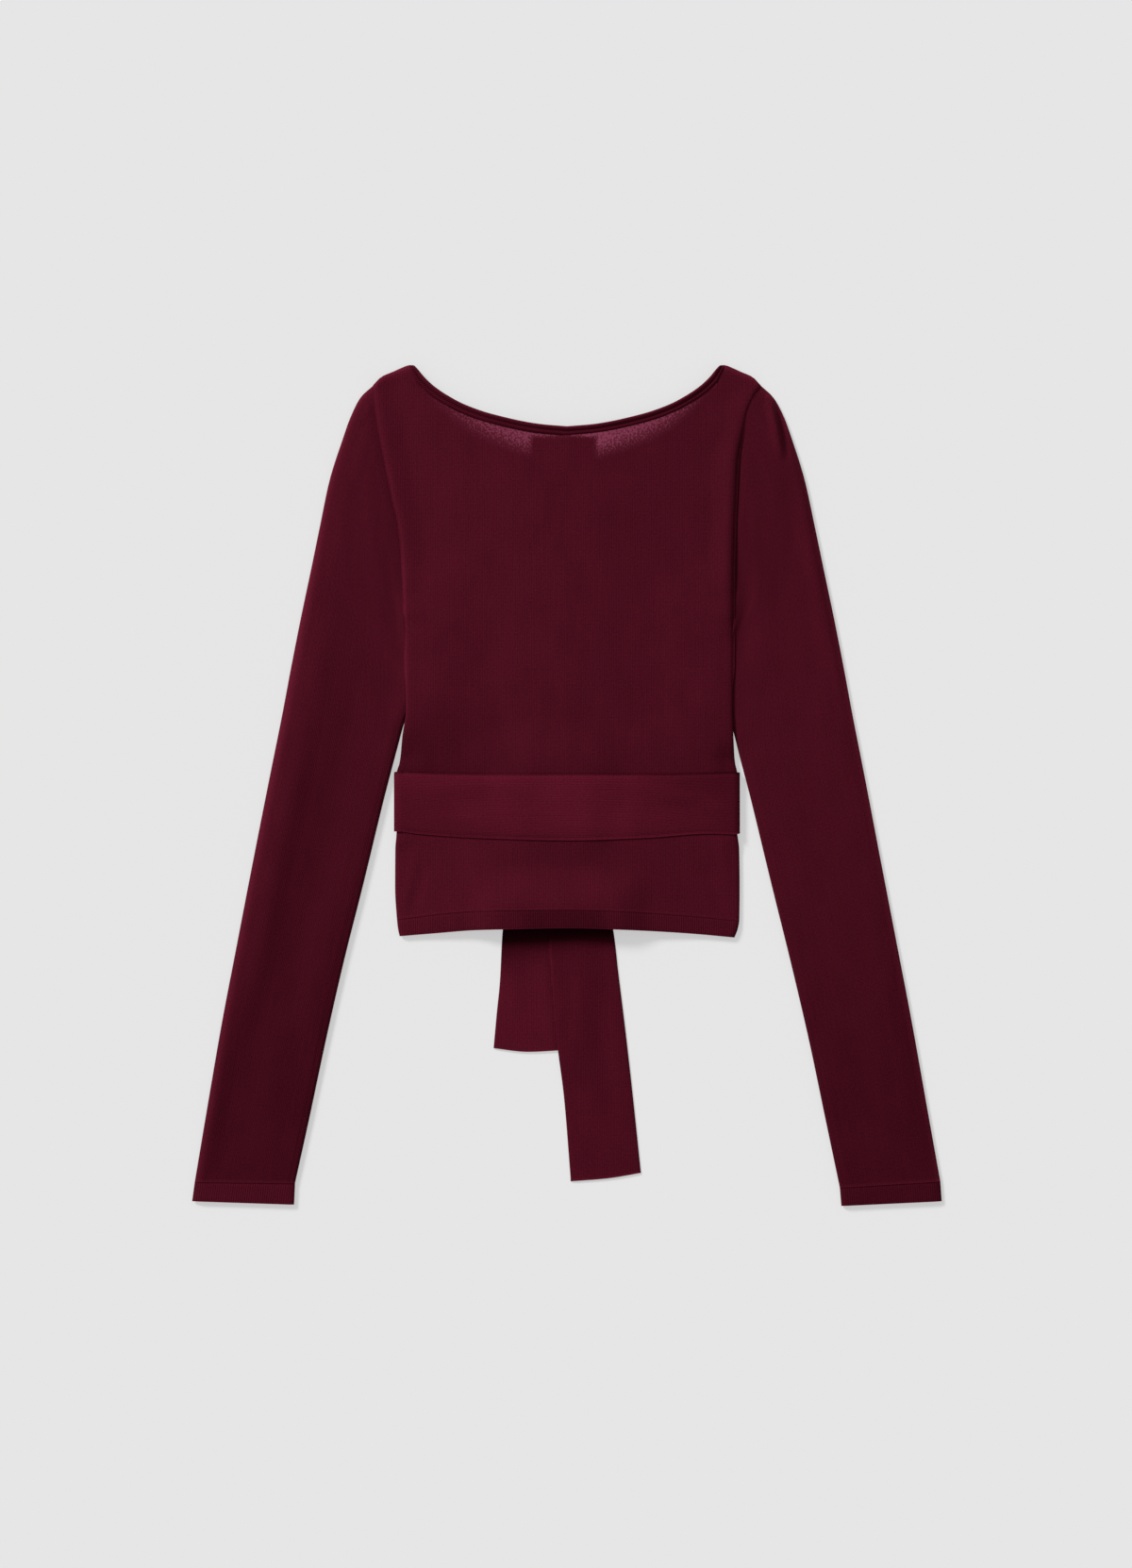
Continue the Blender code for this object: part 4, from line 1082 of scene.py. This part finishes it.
def make_knot(material):
    """Flat knot under the front: a pad with a wrapped band across its middle."""
    along = np.sin(np.linspace(-1, 1, KNOT_POINTS) * math.pi / 2)
    p, q = np.meshgrid(along, along)
    x = KNOT["x"] + KNOT["half_x"] * p * np.sqrt(1 - KNOT_ROUNDNESS * q * q)
    y = KNOT["y"] + KNOT["half_y"] * q * np.sqrt(1 - KNOT_ROUNDNESS * p * p)
    crown_x, crown_y = (np.sqrt(np.clip(1 - at ** KNOT_CROWN_POWER, 0, 1)) for at in (p, q))
    crown = crown_x * crown_y
    wrapped = ramp(abs(x - KNOT["x"]) - KNOT_WRAP_HALF, KNOT_WRAP_EDGE)
    share = KNOT_SHARES["edge"] + KNOT_SHARES["crown"] * crown + KNOT_SHARES["wrap"] * crown * wrapped
    height = KNOT["height"] * share
    return shell("sash_knot", stacked(x, y, height), stacked(x, y, 0 * x), stacked(x, y), material)


def end_plan(table, bow):
    """Grid of one end of the sash in plan, from the knot to its cut edge."""
    down = np.linspace(0, 1, END_POINTS["down"])[:, None]
    over = np.sin(np.linspace(-1, 1, END_POINTS["over"]) * math.pi / 2)[None, :] / 2 + 0.5
    top, bottom = table[0]["y"], table[-1]["y"]
    cut = bottom + smooth([0, 0.5, 1], bow, over)
    y = top + (cut - top) * down
    left, right = end_edge(table, "left", y), end_edge(table, "right", y)
    return left + (right - left) * over, y, over


def make_end(name, table, bow, rest, folds, tone, material):
    x, y, over = end_plan(table, bow)
    low = rest(x, y)
    round_off = rounded_off(over, END_EDGE) + 0 * x
    extra = soft_folds(folds, x, y) * round_off
    high = low + END_EDGE["thin"] + (BELT_WALL - END_EDGE["thin"]) * round_off + extra
    below = (across(HEM_EDGE, x) - y) / look_up(HEM_SHADE_REACH, "reach", x)
    tone = tone * look_up(HEM_SHADE, "tone", below)
    # Painted highlight along the long end's left edge, and painted shade beside it on the short end
    from_long = x - end_edge(LONG_END, "left", y)
    painted_highlight = ramp(abs(from_long - END_PAINTED_HIGHLIGHT["reach"]), END_PAINTED_HIGHLIGHT["reach"])
    painted_highlight = painted_highlight * ramp(END_PAINTED_HIGHLIGHT["to_y"] - y, END_PAINTED_HIGHLIGHT["fade"])
    shade = ramp(abs(from_long), END_SHADE["reach"])
    shade = shade * ramp(y - END_SHADE["from_y"], END_SHADE["fade"])
    tone = tone * (1 + END_PAINTED_HIGHLIGHT["light"] * painted_highlight) * (1 - END_SHADE["depth"] * shade * (from_long < 0))
    return shell(name, stacked(x, y, high), stacked(x, y, low), stacked(x, y), material, tone=tone)


def on_the_surface(x, y):
    return 0 * x


def over_short_end(x, y):
    """Height that the long end rests at: on the short end, then down to the surface beside it."""
    beside = np.maximum(x - end_edge(SHORT_END, "right", y), SHORT_END[-1]["y"] - y) - TAIL_MARGIN
    return (BELT_WALL + REST_GAP) * ramp(beside, SOFT_TAIL_RAMP)


def make_label(material):
    """Plain cloth tab inside the back neck, which shows through the knit."""
    x = NECK_LABEL["x"] + NECK_LABEL["width"] * np.linspace(-0.5, 0.5, LABEL_POINTS["across"])
    y = NECK_LABEL["top"] - NECK_LABEL["depth"] * np.linspace(0, 1, LABEL_POINTS["down"])
    x, y = np.meshgrid(x, y)
    top, bottom = (stacked(x, y, 0 * x + NECK_LABEL[face]) for face in ("high", "low"))
    return shell("blank_neck_label", top, bottom, stacked(x, y), material)


# Knits: linear colour, how deep the wales are, and their pitch
KNITS = {
    "knit_body": dict(colour=(0.0640, 0.0048, 0.0122), rib=0.35, pitch=1.3, thin=True),
    "knit_band": dict(colour=(0.0600, 0.0045, 0.0114), rib=0.8, pitch=1.8),
    "knit_sash": dict(colour=(0.0700, 0.0050, 0.0130), rib=0.35, pitch=1.3),
    "label_cloth": dict(colour=(0.045, 0.0050, 0.0090), rib=0.1, pitch=0.6),
}
COURSE_PITCH = 1.1
# Noise on the yarn: features per millimetre across and along, and its detail
STREAKS = dict(scale=(0.42, 0.020), detail=2.0)
PATCHES = dict(scale=(0.045, 0.030), detail=3.0)
SPECKS = dict(scale=(0.75, 0.60), detail=3.0)
DOTS = dict(scale=(0.62, 0.56), detail=2.0)
STITCHES = dict(course=0.15, streaks=1.1, specks=1.2, strength=0.5, distance=0.0003)
YARN = dict(patches=0.24, streaks=0.10, specks=0.76, wale=0.10, base=0.45)
# How the painted see-through light is mixed in: in specks, from the dots over a threshold, and evenly
PAINTED_SEE_THROUGH = dict(colour=(0.215, 0.040, 0.078), from_dot=0.34, dot_gain=3.1, gain=1.5, specks=0.68, even=0.27)
SURFACE = dict(rough=0.78, rough_specks=0.2, specular=0.06, sheen=0.06, sheen_rough=0.5)
FLOOR_COLOUR = (0.790, 0.790, 0.790)
FLOOR_GLOW = 0.6  # share of the floor's brightness that is its own, as on a light table
FLOOR_HALF = 6.0  # metres
FLOOR_Z = -0.0002
SHEEN_TINT = (0.62, 0.08, 0.17)

# Light and camera
SUN_STRENGTH = 3.88
SUN_ELEVATION = 28.0
SUN_AZIMUTH = 135.0  # degrees from +X towards +Y
SUN_ANGLE = 14.0
FILL = 0.42
PIXEL = 0.78  # size of a photo pixel on the garment
PHOTO_SIZE = (1200, 1662)
PHOTO_ORIGIN = (601.0, 832.5)
CAMERA_HEIGHT = 2.2
SENSOR = 36.0


def node(tree, kind, **values):
    made = tree.nodes.new(kind)
    for key, value in values.items():
        setattr(made, key, value)
    return made


def set_inputs(made, values):
    for socket, value in values.items():
        made.inputs[socket].default_value = value


def math_node(tree, operation, a, b=None, clamp=False):
    made = node(tree, "ShaderNodeMath", operation=operation, use_clamp=clamp)
    for socket, value in zip(made.inputs, (a, b)):
        if value is None:
            continue
        if isinstance(value, (int, float)):
            socket.default_value = value
        else:
            tree.links.new(value, socket)
    return made.outputs[0]


def weighted_sum(tree, parts):
    """Sum of values, each times its weight."""
    total = None
    for value, weight in parts:
        part = math_node(tree, "MULTIPLY", value, weight)
        total = part if total is None else math_node(tree, "ADD", total, part)
    return total


def noise_node(tree, place, scale, detail):
    """Noise on the knit's own coordinates, in features per millimetre across and along."""
    mapping = node(tree, "ShaderNodeMapping")
    set_inputs(mapping, {"Scale": (*scale, 1)})
    tree.links.new(place, mapping.inputs["Vector"])
    made = node(tree, "ShaderNodeTexNoise", noise_dimensions="2D")
    set_inputs(made, {"Scale": 1, "Detail": detail})
    tree.links.new(mapping.outputs[0], made.inputs["Vector"])
    return made.outputs[0]


def knit_material(name, colour, rib, pitch, thin=False):
    """Fine knit: wales along the cloth with small stitches, uneven yarn and a soft sheen."""
    material = bpy.data.materials.new(name)
    material.use_nodes = True
    tree = material.node_tree
    shader = tree.nodes["Principled BSDF"]
    grain = node(tree, "ShaderNodeUVMap", uv_map="grain")
    apart = node(tree, "ShaderNodeSeparateXYZ")
    tree.links.new(grain.outputs[0], apart.inputs[0])
    wale = math_node(tree, "MULTIPLY", apart.outputs[0], 2 * math.pi / pitch)
    wale = math_node(tree, "SINE", wale)
    course = math_node(tree, "MULTIPLY", apart.outputs[1], 2 * math.pi / COURSE_PITCH)
    course = math_node(tree, "SINE", course)
    streaks = noise_node(tree, grain.outputs[0], **STREAKS)
    patches = noise_node(tree, grain.outputs[0], **PATCHES)
    specks = noise_node(tree, grain.outputs[0], **SPECKS)
    # Height of the stitches
    height = weighted_sum(tree, [
        (wale, rib),
        (course, STITCHES["course"]),
        (streaks, STITCHES["streaks"]),
        (specks, STITCHES["specks"]),
    ])
    bump = node(tree, "ShaderNodeBump")
    set_inputs(bump, {"Strength": STITCHES["strength"], "Distance": STITCHES["distance"]})
    tree.links.new(height, bump.inputs["Height"])
    tree.links.new(bump.outputs[0], shader.inputs["Normal"])
    # Uneven colour of the yarn
    tone = weighted_sum(tree, [
        (patches, YARN["patches"]),
        (streaks, YARN["streaks"]),
        (specks, YARN["specks"]),
        (wale, YARN["wale"] * rib),
    ])
    tone = math_node(tree, "ADD", tone, YARN["base"])
    # The tone attribute brings in each piece's tone, with its painted light and shade
    piece_tone = node(tree, "ShaderNodeAttribute", attribute_name="tone")
    tone = math_node(tree, "MULTIPLY", tone, piece_tone.outputs["Fac"])
    mixed = node(tree, "ShaderNodeMix", data_type="RGBA", blend_type="MULTIPLY")
    mixed.inputs[0].default_value = 1
    mixed.inputs[6].default_value = (*colour, 1)
    tree.links.new(tone, mixed.inputs[7])
    result = mixed.outputs[2]
    # Painted see-through light, where the pale surface shows through the single layer
    if thin:
        mask = node(tree, "ShaderNodeAttribute", attribute_name="thin")
        dots = noise_node(tree, grain.outputs[0], **DOTS)
        dots = math_node(tree, "SUBTRACT", dots, PAINTED_SEE_THROUGH["from_dot"])
        dots = math_node(tree, "MULTIPLY", dots, PAINTED_SEE_THROUGH["dot_gain"], clamp=True)
        share = math_node(tree, "ADD", dots, mask.outputs["Fac"])
        share = math_node(tree, "SUBTRACT", share, 1.0)
        share = math_node(tree, "MULTIPLY", share, PAINTED_SEE_THROUGH["gain"], clamp=True)
        share = weighted_sum(tree, [(share, PAINTED_SEE_THROUGH["specks"]), (mask.outputs["Fac"], PAINTED_SEE_THROUGH["even"])])
        see_through_mix = node(tree, "ShaderNodeMix", data_type="RGBA")
        tree.links.new(share, see_through_mix.inputs[0])
        tree.links.new(result, see_through_mix.inputs[6])
        see_through_mix.inputs[7].default_value = (*PAINTED_SEE_THROUGH["colour"], 1)
        result = see_through_mix.outputs[2]
    tree.links.new(result, shader.inputs["Base Color"])
    rough = math_node(tree, "MULTIPLY", specks, SURFACE["rough_specks"])
    rough = math_node(tree, "ADD", rough, SURFACE["rough"])
    tree.links.new(rough, shader.inputs["Roughness"])
    set_inputs(shader, {
        "Metallic": 0,
        "Specular IOR Level": SURFACE["specular"],
        "Specular Tint": (*SHEEN_TINT, 1),
        "Sheen Weight": SURFACE["sheen"],
        "Sheen Roughness": SURFACE["sheen_rough"],
        "Sheen Tint": (*SHEEN_TINT, 1),
    })
    return material


def make_floor():
    mesh = bpy.data.meshes.new("floor")
    corners = [(x * FLOOR_HALF, y * FLOOR_HALF, FLOOR_Z) for x, y in ((-1, -1), (1, -1), (1, 1), (-1, 1))]
    mesh.from_pydata(corners, [], [(0, 1, 2, 3)])
    material = bpy.data.materials.new("floor_paper")
    material.use_nodes = True
    shader = material.node_tree.nodes["Principled BSDF"]
    set_inputs(shader, {
        "Base Color": (*[(1 - FLOOR_GLOW) * part for part in FLOOR_COLOUR], 1),
        "Emission Color": (*FLOOR_COLOUR, 1),
        "Emission Strength": FLOOR_GLOW,
        "Roughness": 1,
        "Specular IOR Level": 0,
    })
    mesh.materials.append(material)
    floor = placed("floor", mesh)


def make_light():
    sun = bpy.data.lights.new("key", "SUN")
    sun.energy = SUN_STRENGTH
    sun.angle = math.radians(SUN_ANGLE)
    lamp = placed("key", sun)
    elevation, azimuth = math.radians(SUN_ELEVATION), math.radians(SUN_AZIMUTH)
    lamp.rotation_euler = (0, math.pi / 2 - elevation, azimuth)
    world = bpy.data.worlds.new("fill")
    world.use_nodes = True
    set_inputs(world.node_tree.nodes["Background"], {"Color": (1, 1, 1, 1), "Strength": FILL})
    bpy.context.scene.world = world


def make_camera(shift_y):
    camera = bpy.data.cameras.new("camera")
    camera.sensor_width = SENSOR
    camera.lens = SENSOR * CAMERA_HEIGHT / (PHOTO_SIZE[1] * PIXEL * MM)
    eye = placed("camera", camera)
    x = (PHOTO_SIZE[0] / 2 - PHOTO_ORIGIN[0]) * PIXEL * MM
    y = (PHOTO_ORIGIN[1] - PHOTO_SIZE[1] / 2) * PIXEL * MM
    eye.location = (x, y + shift_y, CAMERA_HEIGHT)
    bpy.context.scene.camera = eye


def main():
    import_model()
    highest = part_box("neck_label")[1]
    shift_y = highest[1] - NECK_LABEL["top"] * MM
    body, band, sash, label = (knit_material(name, **knit) for name, knit in KNITS.items())
    built = [
        ("back_panel", "knit_body", make_panel("back", UP, BACK_NECK_DROP, CELL, body)),
        ("front_panel", "knit_body", make_panel("front", DOWN, FRONT_NECK_DROP, COARSE_CELL, body)),
        ("sleeve_left", "knit_body",
         make_sleeve("left_sleeve", "left", LEFT, LEFT_SLEEVE, LEFT_RELIEF, LEFT_FOLDS, body)),
        ("sleeve_right", "knit_body",
         make_sleeve("right_sleeve", "right", RIGHT, RIGHT_SLEEVE, RIGHT_RELIEF, RIGHT_FOLDS, body)),
        ("cuff_left", "knit_band",
         make_cuff("left_cuff", LEFT, LEFT_SLEEVE[-1], LEFT_CUFF, CUFF_TONE["left"], band)),
        ("cuff_right", "knit_band",
         make_cuff("right_cuff", RIGHT, RIGHT_SLEEVE[-1], RIGHT_CUFF, CUFF_TONE["right"], band)),
        ("hem_band_back", "knit_band", make_hem_band("back_hem", UP, CELL, BAND_PROUD, band)),
        ("hem_band_front", "knit_band", make_hem_band("front_hem", DOWN, COARSE_CELL, FLUSH, band)),
        ("neckband_back", "knit_band",
         make_neckband("back_neckband", UP, BACK_NECK_DROP, NECK_PROUD, band)),
        ("neckband_front", "knit_band",
         make_neckband("front_neckband", DOWN, FRONT_NECK_DROP, FLUSH, band)),
        ("belt", "knit_sash", make_belt(sash)),
        ("belt_knot", "knit_sash", make_knot(sash)),
        ("belt_end_short", "knit_sash",
         make_end("short_end", SHORT_END, SHORT_END_BOW, on_the_surface, SHORT_FOLDS,
                  END_TONE["short"], sash)),
        ("belt_end_long", "knit_sash",
         make_end("long_end", LONG_END, LONG_END_BOW, over_short_end, LONG_FOLDS,
                  END_TONE["long"], sash)),
        ("neck_label", "label_cloth", make_label(label)),
    ]
    for frame_node, slot, piece in built:
        piece.data.transform(Matrix.Translation((0, shift_y, 0)))
        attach(piece, "root")
        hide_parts(frame_node)
    make_floor()
    make_light()
    make_camera(shift_y)
    bpy.context.scene.view_settings.view_transform = "Standard"
    bpy.context.view_layer.update()


main()
